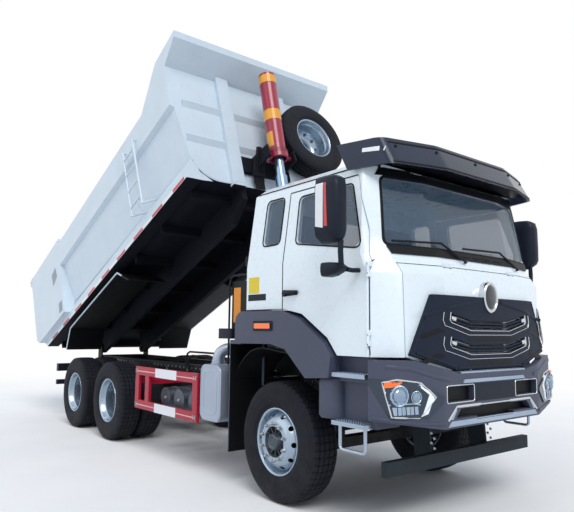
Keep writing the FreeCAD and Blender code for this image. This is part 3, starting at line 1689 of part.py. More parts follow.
def cab_interior():
    """Two seats, the dashboard and the steering wheel on its column."""
    floor_z = cab_back_bottom_z + floor_wall + fit_gap
    parts = []
    x0 = ahead(seat_back_x)
    for y in (-seat_y, seat_y):
        width = (y - seat_width / 2, y + seat_width / 2)
        base = block(
            (x0 + seat_backrest, x0 + seat_depth - seat_backrest),
            (y - seat_width / 4, y + seat_width / 4),
            (floor_z, floor_z + seat_base_height),
        )
        cushion_z = floor_z + seat_base_height
        cushion = block((x0, x0 + seat_depth), width, (cushion_z, cushion_z + seat_cushion))
        back_outline = [
            (x0, cushion_z + seat_cushion),
            (x0 + seat_backrest, cushion_z + seat_cushion),
            (x0, cushion_z + seat_cushion + seat_backrest_height),
            (x0 - seat_backrest, cushion_z + seat_cushion + seat_backrest_height),
        ]
        back = side_prism(back_outline, width)
        parts.append(joined([base, cushion, back]))
    dash_front = ahead(dash_reach)
    dash = side_prism(
        [
            (dash_front, dash_low_z),
            (dash_front, dash_high_z),
            (dash_front - dash_depth / 2, dash_high_z),
            (dash_front - dash_depth, dash_high_z - seat_cushion),
            (dash_front - dash_depth, dash_low_z + seat_cushion),
        ],
        (-dash_half_width, dash_half_width),
    )
    dash = dash.common(
        cab_form(cab_wall + fit_gap, floor_wall + fit_gap, cab_front_wall + fit_gap)
    )
    centre = Vector(ahead(steering_wheel_x), seat_y, steering_wheel_z)
    tilt = math.radians(steering_tilt)
    axis = Vector(-math.sin(tilt), 0, math.cos(tilt))
    ring = Part.makeTorus(steering_wheel_radius, steering_rim_radius, centre, axis)
    down = centre - axis * steering_column_length
    column = rod(centre, down, steering_rim_radius * 2)
    across = Vector(0, steering_wheel_radius, 0)
    spoke = rod(centre - across, centre + across, steering_rim_radius / 2)
    parts.append(joined([dash, column, ring, spoke]))
    return Part.makeCompound(parts)


def side_guards():
    """A frame of two rails and three posts on each flank, on arms from the chassis."""
    y = (guard_y - guard_wall, guard_y)
    x = (ahead(guard_back), ahead(guard_front))
    parts = [
        block(x, y, (guard_top_low_z, guard_top_high_z)),
        block(x, y, (guard_low_low_z, guard_low_high_z)),
    ]
    posts = [ahead(guard_back), ahead(guard_front) - guard_post, ahead(guard_inner_post_x)]
    for place in posts:
        parts.append(block((place, place + guard_post), y, (guard_low_low_z, guard_top_high_z)))
        arm_x = (place + guard_post / 4, place + guard_post / 4 + guard_arm)
        parts.append(block(arm_x, (rail_outer_y, y[0]), (guard_arm_z, guard_arm_z + guard_arm)))
    return pair(joined(parts))


def air_tanks():
    """Three air tanks across the right flank, each on a strap from the rail."""
    tanks = []
    for place in tank_places:
        start = Vector(ahead(place), -rail_outer_y - tank_strap, tank_z)
        end = Vector(ahead(place), -tank_end_y, tank_z)
        tank = rod(start, end, tank_radius)
        strap = block(
            (ahead(place) - tank_strap, ahead(place) + tank_strap),
            (-rail_outer_y, -rail_outer_y - tank_strap),
            (tank_z - tank_strap, rail_low_z + rail_height / 4),
        )
        tanks.append(joined([tank, strap]))
    return Part.makeCompound(tanks)


def silencer_box():
    """Rounded silencer box on the right flank with the elbow pipe from its top."""
    outline = [
        (ahead(box_back), box_low_z),
        (ahead(box_back), box_high_z),
        (ahead(box_front), box_high_z),
        (ahead(box_front), box_low_z),
    ]
    body = side_prism(outline, (-box_out_y, -box_in_y), box_corner)
    arm = block(
        (ahead(box_back) + box_corner, ahead(box_front) - box_corner),
        (-box_in_y, -rail_outer_y),
        (rail_low_z + rail_height / 4, rail_low_z + rail_height / 4 + side_arm),
    )
    points = [
        Vector(ahead(pipe_rise_x), -pipe_y, box_high_z - pipe_radius),
        Vector(ahead(pipe_rise_x), -pipe_y, pipe_top_z),
        Vector(ahead(pipe_bend_x), -pipe_bend_y, pipe_top_z + pipe_radius),
        Vector(ahead(pipe_run_x), -pipe_run_y, pipe_top_z + pipe_radius),
        Vector(ahead(engine_back), -pipe_run_y, engine_step_z),
    ]
    pipe = bent_rod(points, pipe_radius, pipe_radius * 2).cut(engine_block())
    return joined([body, arm, pipe])


def flank_box(back, front, low, high, corner):
    """A rounded box on the left flank with the arm that carries it."""
    outline = [
        (ahead(back), low),
        (ahead(back), high),
        (ahead(front), high),
        (ahead(front), low),
    ]
    body = side_prism(outline, (box_in_y, box_out_y - guard_wall - moving_gap), corner)
    arm = block(
        (ahead(back) + corner, ahead(front) - corner),
        (rail_outer_y, box_in_y),
        (rail_low_z + rail_height / 4, rail_low_z + rail_height / 4 + side_arm),
    )
    return joined([body, arm])


def air_intake():
    """Air filter box behind the cab's right corner with its stack and round cap."""
    body = block(
        (ahead(intake_back), ahead(intake_front)),
        (-intake_out_y, -intake_in_y),
        (intake_low_z, intake_high_z),
    )
    x = ahead((intake_back + intake_front) / 2)
    y = -(intake_out_y + intake_in_y) / 2
    stack = rod(Vector(x, y, intake_high_z), Vector(x, y, intake_cap_low_z), intake_pipe_radius)
    cap = rod(Vector(x, y, intake_cap_low_z), Vector(x, y, intake_cap_high_z), intake_cap_radius)
    leg_y = (-intake_in_y, y - intake_leg)
    leg = block((x - intake_leg, x + intake_leg), leg_y, (rail_top_z, intake_low_z))
    foot = block(
        (x - intake_leg, x + intake_leg),
        (-intake_in_y, -rail_inner_y),
        (rail_top_z, rail_top_z + intake_leg),
    )
    return joined([body, stack, cap, leg, foot])


def tail_bar():
    """Rear underrun bar and lamp boxes on arms from the rails' ends."""
    x = (ahead(tail_bar_x), ahead(tail_bar_x) + tail_bar_depth)
    bar = block(x, (-tail_bar_half, tail_bar_half), (tail_bar_low_z, tail_bar_high_z))
    drop = block(
        (ahead(tail_bar_x), ahead(rail_back) - tail_plate_wall),
        (rail_inner_y, rail_inner_y + tail_arm),
        (tail_bar_low_z, rail_top_z - rail_height / 3),
    )
    lamp_x = (ahead(tail_bar_x), ahead(tail_bar_x) + tail_lamp_depth)
    lamp = block(lamp_x, (tail_lamp_in_y, tail_lamp_out_y), (tail_lamp_low_z, tail_lamp_high_z))
    arm_level = (tail_lamp_low_z + tail_lamp_high_z - tail_arm) / 2
    arm = block(
        (ahead(tail_bar_x) + tail_arm / 4, ahead(tail_bar_x) + tail_arm),
        (rail_inner_y, tail_lamp_in_y),
        (arm_level, arm_level + tail_arm),
    )
    return joined([bar, drop, mirrored(drop), lamp, mirrored(lamp), arm, mirrored(arm)])


def bed_x(place):
    """X of a place ahead of the bed's front lower corner, bed lowered."""
    return ahead(bed_front_x) + place


def bed_z(height):
    """Z of a height above the bed's floor, bed lowered."""
    return bed_floor_z + height


def bed_side_prism(outline, y, radius=0.0):
    """A side-view outline in bed measures pulled between two Y limits."""
    return side_prism([(bed_x(x), bed_z(h)) for x, h in outline], y, radius)


def raised(shape):
    """A piece of the bed turned about its hinge to the raised rest."""
    turned = shape.copy()
    turned.rotate(bed_hinge, Vector(0, -1, 0), bed_rest_tilt)
    return turned


def tub_section(inset, top, back, front):
    """The tub's U-shaped section, pulled along the bed."""
    right = [
        (bed_wall_y - inset, bed_z(top)),
        (bed_wall_y - inset, bed_z(bed_waist_h)),
        (bed_floor_y - inset, bed_z(inset)),
    ]
    outline = right + [(-y, z) for y, z in reversed(right)]
    radii = [0.0, bed_waist_corner, bed_floor_corner, bed_floor_corner, bed_waist_corner, 0.0]
    return front_prism(outline, (bed_x(back), bed_x(front)), radii)


def wall_line(h):
    """How far the front wall's outer face stands ahead at a height."""
    return wall_slope * h


def bed_back_line(inset=0.0):
    """The stepped back edge of the tub, from the floor up."""
    return [
        (bed_floor_back + inset, skirt_low_h - cut_overrun),
        (bed_floor_back + inset, 0.0),
        (bed_step_back + inset, bed_step_h),
        (bed_top_back + inset, bed_wall_top_h),
    ]


def bed_tub():
    """U-shaped tub: walls, leaning front wall with beams and ribs, canopy, rails, posts and ladder."""
    top = bed_side_h
    long_back = bed_top_back - cut_overrun
    long_front = bed_lean + cut_overrun
    inner = tub_section(bed_sheet, top + bed_wall_top_h, long_back - cut_overrun, bed_canopy_reach * 2)
    walls = tub_section(0.0, top, long_back, long_front)
    skirt = front_prism(
        [
            (skirt_top_y, bed_z(skirt_top_h)),
            (skirt_y, bed_z(skirt_edge_h)),
            (skirt_y, bed_z(skirt_low_h)),
            (skirt_in_y, bed_z(skirt_low_h)),
            (skirt_in_y, bed_z(skirt_edge_h)),
        ],
        (bed_x(long_back), bed_x(long_front)),
    )
    top_rail = front_prism(
        [
            (bed_wall_y - bed_sheet, bed_z(bed_rail_low_h)),
            (bed_rail_y, bed_z(bed_rail_low_h) + bed_sheet * 2),
            (bed_rail_y, bed_z(top)),
            (bed_wall_y - bed_sheet, bed_z(top)),
        ],
        (bed_x(long_back), bed_x(long_front)),
    )
    post = block(
        (bed_x(long_back), bed_x(bed_post_front)),
        (bed_floor_y, bed_rail_y),
        (bed_z(skirt_edge_h), bed_z(bed_post_top_h)),
    )
    long_parts = joined([walls, skirt, mirrored(skirt), top_rail, mirrored(top_rail), post, mirrored(post)])
    long_parts = long_parts.cut(inner)
    side_limit = [
        (wall_line(skirt_low_h - cut_overrun), skirt_low_h - cut_overrun),
        (wall_line(bed_wall_top_h), bed_wall_top_h),
    ] + list(reversed(bed_back_line()))
    spread = (-bed_rail_y - cut_overrun, bed_rail_y + cut_overrun)
    long_parts = long_parts.common(bed_side_prism(side_limit, spread))
    wall = bed_side_prism(
        [
            (wall_line(skirt_low_h) - bed_sheet, skirt_low_h),
            (wall_line(skirt_low_h), skirt_low_h),
            (bed_lean, bed_wall_top_h),
            (bed_lean - bed_sheet, bed_wall_top_h),
        ],
        (-bed_wall_y, bed_wall_y),
    )
    face_outline = joined(
        [
            tub_section(0.0, bed_wall_top_h + cut_overrun, -bed_canopy_reach, bed_canopy_reach),
            skirt,
            mirrored(skirt),
        ]
    )
    wall = wall.common(face_outline)
    beam = bed_side_prism(
        [
            (wall_line(wall_beam_low_h) - bed_sheet, wall_beam_low_h),
            (wall_line(wall_beam_low_h) + wall_beam_depth, wall_beam_low_h),
            (wall_line(bed_wall_top_h) + wall_beam_depth, bed_wall_top_h + bed_sheet),
            (wall_line(bed_wall_top_h) - bed_sheet, bed_wall_top_h),
        ],
        (wall_beam_in_y, wall_beam_out_y),
    )
    ribs = []
    for level in wall_rib_places:
        ribs.append(
            bed_side_prism(
                [
                    (wall_line(level) - bed_sheet, level),
                    (wall_line(level) + wall_rib, level),
                    (wall_line(level) + wall_rib, level - bed_sheet),
                    (wall_line(level) - bed_sheet, level - wall_rib * 2),
                ],
                (-bed_wall_y + bed_floor_corner / 4, bed_wall_y - bed_floor_corner / 4),
            )
        )
    canopy = bed_side_prism(
        [
            (bed_lean - bed_sheet, bed_wall_top_h - bed_sheet),
            (bed_lean, bed_wall_top_h - bed_sheet),
            (bed_canopy_reach, bed_canopy_low_h),
            (bed_canopy_reach + bed_sheet * 2, bed_canopy_low_h + bed_canopy_lip),
            (bed_canopy_reach, bed_canopy_low_h + bed_canopy_lip),
            (bed_canopy_reach - bed_sheet, bed_canopy_low_h + bed_sheet * 2),
            (bed_lean - bed_sheet, bed_wall_top_h + bed_sheet),
        ],
        (-bed_wall_y, bed_wall_y),
    )
    gusset = bed_side_prism(
        [
            (bed_gusset_back, top - bed_sheet),
            (wall_line(top), top - bed_sheet),
            (bed_lean, bed_wall_top_h - bed_sheet),
            (bed_canopy_reach, bed_canopy_low_h),
            (bed_canopy_reach + bed_sheet * 2, bed_canopy_low_h + bed_canopy_lip),
            (bed_gusset_turn, bed_gusset_turn_h),
        ],
        (bed_wall_y - bed_sheet, bed_rail_y),
    )
    boss = spare_boss()
    parts = [long_parts, wall, beam, mirrored(beam), canopy, gusset, mirrored(gusset), boss] + ribs
    tub = joined(parts + ladder())
    pin_hole = rod(
        Vector(bed_x(gate_pin_place()), -bed_rail_y - cut_overrun, bed_z(gate_pin_h)),
        Vector(bed_x(gate_pin_place()), bed_rail_y + cut_overrun, bed_z(gate_pin_h)),
        gate_pin_radius + bearing_gap,
    )
    ear = bed_side_prism(
        [
            (bed_top_back + gate_rib_width, gate_pin_h - gate_rib_width),
            (bed_top_back + gate_rib_width, gate_pin_h + gate_rib_width),
            (gate_pin_place() - gate_rib, gate_pin_h + gate_rib),
            (gate_pin_place() - gate_rib, gate_pin_h - gate_rib),
        ],
        (bed_wall_y, bed_rail_y),
        gate_rib / 2,
    )
    tub = joined([tub, ear, mirrored(ear)])
    return tub.cut(pin_hole)


def gate_pin_place():
    """Where the tailgate's pin lies behind the tub's back edge."""
    share = gate_pin_h / bed_wall_top_h
    edge = bed_step_back + (bed_top_back - bed_step_back) * share
    return edge - gate_gap - gate_wall / 2


def ladder():
    """Two rods and their rungs standing off the tub's right flank."""
    y = -bed_rail_y - ladder_stand + ladder_radius
    wall = -bed_wall_y + bed_sheet / 2
    rods = []
    for place in (ladder_x, ladder_x - ladder_width):
        low = Vector(bed_x(place), y, bed_z(ladder_low_h))
        high = Vector(bed_x(place), y, bed_z(ladder_high_h))
        rods.append(rod(low, high, ladder_radius))
        rods.append(rod(high, Vector(high.x, wall, high.z), ladder_radius))
        foot_y = -skirt_top_y - ladder_radius * 3
        foot = Vector(low.x, foot_y, bed_z(skirt_top_h - ladder_radius * 2))
        rods.append(rod(low, foot, ladder_radius))
    for index in range(ladder_rungs):
        share = (index + 0.5) / ladder_rungs
        h = ladder_low_h + (ladder_high_h - ladder_low_h) * share
        start = Vector(bed_x(ladder_x), y, bed_z(h))
        end = Vector(bed_x(ladder_x - ladder_width), y, bed_z(h))
        rods.append(rod(start, end, ladder_radius))
    return rods


def wall_frame_point(up, stand):
    """A point a distance up the front wall and a distance ahead of its face, bed lowered."""
    length = math.hypot(bed_lean, bed_wall_top_h)
    along = Vector(bed_lean / length, 0, bed_wall_top_h / length)
    outward = Vector(bed_wall_top_h / length, 0, -bed_lean / length)
    foot = Vector(bed_x(0.0), 0, bed_z(0.0))
    return foot + along * up + outward * stand, outward


def spare_boss():
    """Round boss on the front wall that the spare wheel is bolted to."""
    start, outward = wall_frame_point(spare_up, -bed_sheet)
    shift = Vector(0, spare_y, 0)
    face = spare_stand + tyre_width / 2 - disc_offset + bed_sheet
    return rod(start + shift, start + shift + outward * (face - fit_gap), spare_boss_radius)


def spare_wheel():
    """Tyre and rim of the spare, bolted to the front wall with the rim's open side ahead."""
    start, outward = wall_frame_point(spare_up, spare_stand + tyre_width / 2)
    centre = start + Vector(0, spare_y, 0)
    pieces = []
    for shape in (tyre(centre), rim(centre, -1)):
        turned = shape.copy()
        turned.rotate(centre, Vector(0, 0, 1), -90)
        turned.rotate(centre, Vector(0, 1, 0), math.degrees(math.atan2(-outward.z, outward.x)))
        pieces.append(raised(turned))
    return pieces


def mudguard():
    """Sheet guard over the left pair of rear wheels, seated under the bed's crossbearers."""
    outline = [
        (ahead(mudguard_back), mudguard_low_z),
        (ahead(mudguard_top_back), mudguard_high_z),
        (ahead(mudguard_top_front), mudguard_high_z),
        (ahead(mudguard_front), mudguard_low_z),
        (ahead(mudguard_front) - guard_sheet * 2, mudguard_low_z),
        (ahead(mudguard_top_front) - guard_sheet, mudguard_high_z - guard_sheet),
        (ahead(mudguard_top_back) + guard_sheet, mudguard_high_z - guard_sheet),
        (ahead(mudguard_back) + guard_sheet * 2, mudguard_low_z),
    ]
    return side_prism(outline, (mudguard_in_y, mudguard_out_y))


def bed_underframe():
    """Two long beams with hinge bosses and the crossbearers under the floor."""
    level = -fit_gap
    back = bed_hinge_x - bed_front_x
    beam = bed_side_prism(
        [
            (back, -bed_beam_h),
            (back, level),
            (wall_line(0.0) - bed_sheet * 2, level),
            (wall_line(0.0) - bed_sheet * 2, -bed_beam_h / 2),
            (wall_line(0.0) - bed_beam_h, -bed_beam_h),
        ],
        (bed_beam_in_y, bed_beam_out_y),
    )
    boss = rod(
        bed_hinge + Vector(0, bed_beam_in_y, 0),
        bed_hinge + Vector(0, bed_beam_out_y, 0),
        hinge_boss_radius,
    )
    hole = rod(
        bed_hinge + Vector(0, bed_beam_in_y - cut_overrun, 0),
        bed_hinge + Vector(0, bed_beam_out_y + cut_overrun, 0),
        hinge_pin_radius + bearing_gap,
    )
    beam = joined([beam, boss])
    clearance = block(
        (bed_hinge.x - hinge_boss_radius * 3, bed_hinge.x + hinge_boss_radius * 2),
        (0, rail_outer_y * 2),
        (bed_hinge_z - hinge_boss_radius * 3, bed_hinge_z - hinge_boss_radius - fit_gap),
    )
    beam = beam.cut(clearance).cut(hole)
    parts = [beam, mirrored(beam)]
    for place in bed_cross_places:
        x = (bed_x(place) - bed_cross_width / 2, bed_x(place) + bed_cross_width / 2)
        arm = block(x, (-bed_cross_half, bed_cross_half), (bed_z(-bed_cross_h), bed_z(level)))
        parts.append(arm)
    rise = tub_section(-fit_gap, bed_side_h, bed_top_back, bed_lean)
    return joined(parts).cut(rise)


def hoist_bracket():
    """Two cheeks and a crosspiece on the front wall that flank the hoist's ring."""
    low = hoist_bracket_low_h
    high = hoist_bracket_high_h
    cheek = bed_side_prism(
        [
            (wall_line(low) + fit_gap, low),
            (wall_line(high) + fit_gap, high),
            (hoist_bracket_reach, high - hoist_bracket_cross / 2),
            (hoist_bracket_reach, low + hoist_bracket_cross / 2),
        ],
        (hoist_bracket_y, hoist_bracket_y + hoist_bracket_wall),
    )
    cross = bed_side_prism(
        [
            (wall_line(low) + fit_gap, low),
            (wall_line(high) + fit_gap, high),
            (wall_line(high) + hoist_bracket_cross, high),
            (wall_line(low) + hoist_bracket_cross, low),
        ],
        (-wall_beam_in_y + fit_gap, wall_beam_in_y - fit_gap),
    )
    return joined([cheek, mirrored(cheek), cross])


def tailgate():
    """Top-hung gate that follows the tub's stepped back edge, with ribs and hinge pins."""
    def line(offset):
        points = bed_back_line()[1:]
        return [(x - offset, h) for x, h in points]

    near = line(gate_gap)
    far = line(gate_gap + gate_wall)
    plate = bed_side_prism(near + list(reversed(far)), (-bed_wall_y, bed_wall_y))
    ribs = []
    outer = line(gate_gap + gate_wall + gate_rib)
    for place in gate_rib_places:
        y = (place - gate_rib_width / 2, place + gate_rib_width / 2)
        ribs.append(bed_side_prism(far[1:] + list(reversed(outer[1:])), y))
    level = bed_step_h
    for share in gate_band_shares:
        h0 = level + (bed_wall_top_h - level) * share - gate_rib_width / 2
        band = bed_side_prism(far[1:] + list(reversed(outer[1:])), (-bed_wall_y, bed_wall_y))
        slab = block(
            (bed_x(bed_top_back) - gate_rib * 4, bed_x(bed_floor_back)),
            (-bed_wall_y, bed_wall_y),
            (bed_z(h0), bed_z(h0 + gate_rib_width)),
        )
        ribs.append(band.common(slab))
    shape = joined([plate] + ribs)
    reach = (bed_top_back - gate_rib * 4, bed_floor_back + gate_rib)
    half = bed_wall_y - bed_sheet - gate_edge_gap
    lower = tub_section(bed_sheet / 2, gate_pin_h - gate_pin_radius, *reach)
    upper = block(
        (bed_x(reach[0]), bed_x(reach[1])),
        (-half, half),
        (bed_z(gate_pin_h - gate_pin_radius * 2), bed_z(bed_wall_top_h)),
    )
    shape = shape.common(joined([lower, upper]))
    y = Vector(bed_x(gate_pin_place()), half - gate_rib, bed_z(gate_pin_h))
    pin = rod(y, Vector(y.x, bed_rail_y - bed_sheet, y.z), gate_pin_radius)
    return joined([shape, pin, mirrored(pin)])


def hoist_point(distance):
    """A point on the hoist's line at rest, a distance from its foot."""
    return hoist_foot + hoist_line * distance


def hoist_base():
    """Base tube on its foot boss."""
    body = tube(hoist_point(base_foot), hoist_point(base_top), base_radius, tube_wall)
    plug_end = hoist_point(base_foot + tube_wall * 3)
    plug = rod(hoist_point(base_foot / 2), plug_end, base_radius - tube_wall / 2)
    boss = rod(
        hoist_foot - Vector(0, foot_boss_half, 0),
        hoist_foot + Vector(0, foot_boss_half, 0),
        foot_boss_radius,
    )
    hole = rod(
        hoist_foot - Vector(0, foot_boss_half + cut_overrun, 0),
        hoist_foot + Vector(0, foot_boss_half + cut_overrun, 0),
        foot_pin_radius + bearing_gap,
    )
    return joined([body, plug, boss]).cut(hole)


def hoist_stage(index):
    """One sliding tube of the hoist at its rest extension."""
    shift = hoist_slide * (index + 1)
    low = hoist_point(stage_low[index] + shift)
    high = hoist_point(stage_high[index] + shift)
    guide = ([base_radius] + stage_radii)[index] - tube_wall - bearing_gap
    band = tube(low, low + hoist_line * guide_band, guide, guide - stage_radii[index] + tube_wall)
    return joined([tube(low, high, stage_radii[index], tube_wall), band])


def hoist_cover():
    """Cover tube with its cap, lower ring and stubs."""
    shift = hoist_slide * 3
    low = hoist_point(cover_low + shift)
    high = hoist_point(cover_high + shift)
    body = tube(low, high, cover_radius, cover_wall)
    cap = rod(high, high + hoist_line * cover_cap, cover_radius)
    half = hoist_line * (ring_height / 2)
    ring = tube(low - half, low + half, ring_radius, ring_radius - cover_radius + cover_wall)
    end = Vector(0, ring_stub_end_y, 0)
    stubs = rod(low - end, low + end, ring_stub_radius)
    stubs = stubs.cut(rod(low - half * 2, low + half * 2, cover_radius - cover_wall / 2))
    return joined([body, cap, ring, stubs])


def hoist_rod():
    """The innermost rod, fixed in the cover's cap."""
    shift = hoist_slide * 3
    low = hoist_point(rod_low + shift)
    band = rod(low, low + hoist_line * guide_band, stage_radii[-1] - tube_wall - bearing_gap)
    return joined([rod(low, hoist_point(cover_high + shift - fit_gap), rod_radius), band])


def build():
    """Every node of the truck by name."""
    nodes = {}
    shell, glass, door, door_glass, lid = cab_parts()
    nodes["chassis_frame"] = chassis_frame()
    nodes["crossmembers"] = crossmembers()
    nodes["front_axle"] = front_axle()
    nodes["rear_bogie"] = rear_bogie()
    nodes["engine_block"] = engine_block()
    nodes["driveline"] = Part.makeCompound(list(driveline()))
    nodes["cab_shell"] = biggest(shell)
    nodes["cab_glass"] = glass
    nodes["cab_interior"] = cab_interior()
    nodes["sun_visor"] = sun_visor()
    nodes["wipers"] = wipers()
    nodes["bumper"] = biggest(bumper())
    nodes["front_lamps"] = front_lamps()
    nodes["front_fenders"] = front_fenders()
    nodes["cab_steps"] = cab_steps()
    nodes["front_underrun"] = front_underrun()
    nodes["side_guards"] = side_guards()
    nodes["air_tanks"] = air_tanks()
    nodes["silencer_box"] = silencer_box()
    nodes["fuel_tank"] = flank_box(fuel_back, fuel_front, fuel_low_z, fuel_high_z, fuel_corner)
    nodes["battery_box"] = flank_box(
        battery_back, battery_front, battery_low_z, battery_high_z, rail_wall
    )
    nodes["air_intake"] = air_intake()
    nodes["tail_bar"] = tail_bar()
    nodes["front_lid"] = biggest(lid)
    nodes["grille"] = grille()
    handle = door_handle()
    mirrors = mirror()
    trim = Part.makeCompound([handle, mirrors])
    nodes["door_left"] = biggest(door)
    nodes["door_right"] = mirrored(biggest(door))
    nodes["door_glass_left"] = biggest(door_glass)
    nodes["door_glass_right"] = mirrored(biggest(door_glass))
    nodes["mirrors_left"] = trim
    nodes["mirrors_right"] = mirrored(trim)
    for name, side in (("left", 1), ("right", -1)):
        nodes["knuckle_" + name] = knuckle(side)
        nodes["front_tyre_" + name], nodes["front_rim_" + name] = front_wheel(side)
        for index, x in enumerate(rear_axle_xs):
            label = f"{index + 1}_{name}"
            nodes["rear_tyres_" + label], nodes["rear_rims_" + label] = rear_wheels(x, side)
    nodes["bed_tub"] = raised(bed_tub())
    nodes["bed_underframe"] = raised(bed_underframe())
    nodes["mudguards"] = raised(pair(mudguard()))
    nodes["hoist_bracket"] = raised(hoist_bracket())
    nodes["tailgate"] = raised(tailgate())
    nodes["spare_tyre"], nodes["spare_rim"] = spare_wheel()
    nodes["hoist_base"] = hoist_base()
    nodes["hoist_stage_1"] = hoist_stage(0)
    nodes["hoist_stage_2"] = hoist_stage(1)
    nodes["hoist_cover"] = hoist_cover()
    nodes["hoist_rod"] = hoist_rod()
    return nodes


def main():
    """Write one STEP file for each node."""
    os.makedirs("parts", exist_ok=True)
    for name, shape in build().items():
        shape.exportStep(f"parts/{name}.step")
        print(name, shape.isValid(), len(shape.Solids), round(shape.Volume / 1e6, 1), len(shape.Faces))


main()
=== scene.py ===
"""Three-axle dump truck with its bed raised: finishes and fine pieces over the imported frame.

Lengths are metres in the row frame: +X ahead, +Y to the truck's left, +Z up.
"""

import json
import logging
from dataclasses import dataclass
from enum import Enum
from functools import cache
from math import atan, ceil, copysign, cos, pi, radians, sin, tan
from typing import Iterable, NamedTuple, Sequence

import bmesh
import bpy
from mathutils import Matrix, Vector
from mathutils.bvhtree import BVHTree

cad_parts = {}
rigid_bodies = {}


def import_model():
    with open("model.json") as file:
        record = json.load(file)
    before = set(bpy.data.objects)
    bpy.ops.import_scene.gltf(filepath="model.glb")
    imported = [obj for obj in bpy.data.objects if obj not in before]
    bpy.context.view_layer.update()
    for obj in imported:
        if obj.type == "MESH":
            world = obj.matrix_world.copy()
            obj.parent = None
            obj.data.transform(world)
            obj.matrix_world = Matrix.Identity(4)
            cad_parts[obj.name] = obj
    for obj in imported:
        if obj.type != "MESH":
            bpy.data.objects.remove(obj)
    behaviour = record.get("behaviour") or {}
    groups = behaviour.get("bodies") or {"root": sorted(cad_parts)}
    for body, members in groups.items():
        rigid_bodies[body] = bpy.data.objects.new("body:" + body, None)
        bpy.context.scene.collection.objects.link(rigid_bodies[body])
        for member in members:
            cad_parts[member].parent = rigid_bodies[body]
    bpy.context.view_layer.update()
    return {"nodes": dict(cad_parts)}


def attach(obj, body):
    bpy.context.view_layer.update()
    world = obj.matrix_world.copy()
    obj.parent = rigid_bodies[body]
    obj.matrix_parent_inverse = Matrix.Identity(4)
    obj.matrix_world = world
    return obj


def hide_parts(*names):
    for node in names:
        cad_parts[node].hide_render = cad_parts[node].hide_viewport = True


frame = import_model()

LOG = logging.getLogger("dump_truck")
FRONT_AXLE = 3.13
Point = Sequence[float]
Socket = bpy.types.NodeSocket


class Side(Enum):
    """A side of the truck, as the sign of its Y."""

    RIGHT = -1
    LEFT = 1

    @property
    def tag(self) -> str:
        """Return the side's word in node and body names."""
        return self.name.lower()


class Axis(Enum):
    """The axis that an outline is drawn out along: which of depth, across and up is X, Y and Z."""

    X = (0, 1, 2)
    Y = (1, 0, 2)


def at(x: float, y: float, z: float) -> Vector:
    """Return the point that far ahead of the front axle, to the left and above the ground."""
    return Vector((x + FRONT_AXLE, y, z))


def turns(count: int) -> list[float]:
    """Return a full circle's angles in equal steps."""
    return [2 * pi * k / count for k in range(count)]


def oblong(left: float, right: float, low: float, high: float) -> list[Point]:
    """Return a rectangle's corners."""
    return [(left, low), (right, low), (right, high), (left, high)]


def keystone(low_half: float, high_half: float, low: float, high: float) -> list[Point]:
    """Return the corners of a shape about the truck's middle, as wide as that below and above."""
    return [(-low_half, low), (low_half, low), (high_half, high), (-high_half, high)]


# ---- finishes


def linear(colour: str) -> tuple[float, ...]:
    """Turn a colour as it shows into the light values that a shader takes."""
    shares = [int(colour[i:i + 2], 16) / 255 for i in (0, 2, 4)]
    return (*(s / 12.92 if s <= 0.04045 else ((s + 0.055) / 1.055) ** 2.4 for s in shares), 1.0)


def scaled(colour: Point, share: float) -> tuple[float, ...]:
    """Return a colour with that share of its light."""
    return (*(min(1.0, c * share) for c in colour[:3]), 1.0)


class Wiring:
    """A node tree being wired."""

    def __init__(self, tree: bpy.types.NodeTree) -> None:
        """Take the tree."""
        self.tree = tree

    def fill(self, made: bpy.types.Node, inputs: dict[str | int, object]) -> bpy.types.Node:
        """Set or link a node's inputs.

        Args:
            made: The node.
            inputs: Values or sockets by input name or number, None for one that is left alone.

        Returns:
            The same node.
        """
        for key, value in inputs.items():
            if isinstance(value, Socket):
                self.tree.links.new(value, made.inputs[key])
            elif value is not None:
                made.inputs[key].default_value = value
        return made

    def node(self, kind: str, inputs: dict[str | int, object] | None = None,
             **settings: object) -> bpy.types.Node:
        """Add a node.

        Args:
            kind: The node's Blender type.
            inputs: Values or sockets by input name or number.
            settings: Properties of the node.

        Returns:
            The node.
        """
        made = self.tree.nodes.new(kind)
        for key, value in settings.items():
            setattr(made, key, value)
        return self.fill(made, inputs or {})

    def math(self, how: str, first: object, second: object = None) -> Socket:
        """Return the result of a math operation on numbers or sockets."""
        return self.node("ShaderNodeMath", {0: first, 1: second}, operation=how).outputs[0]


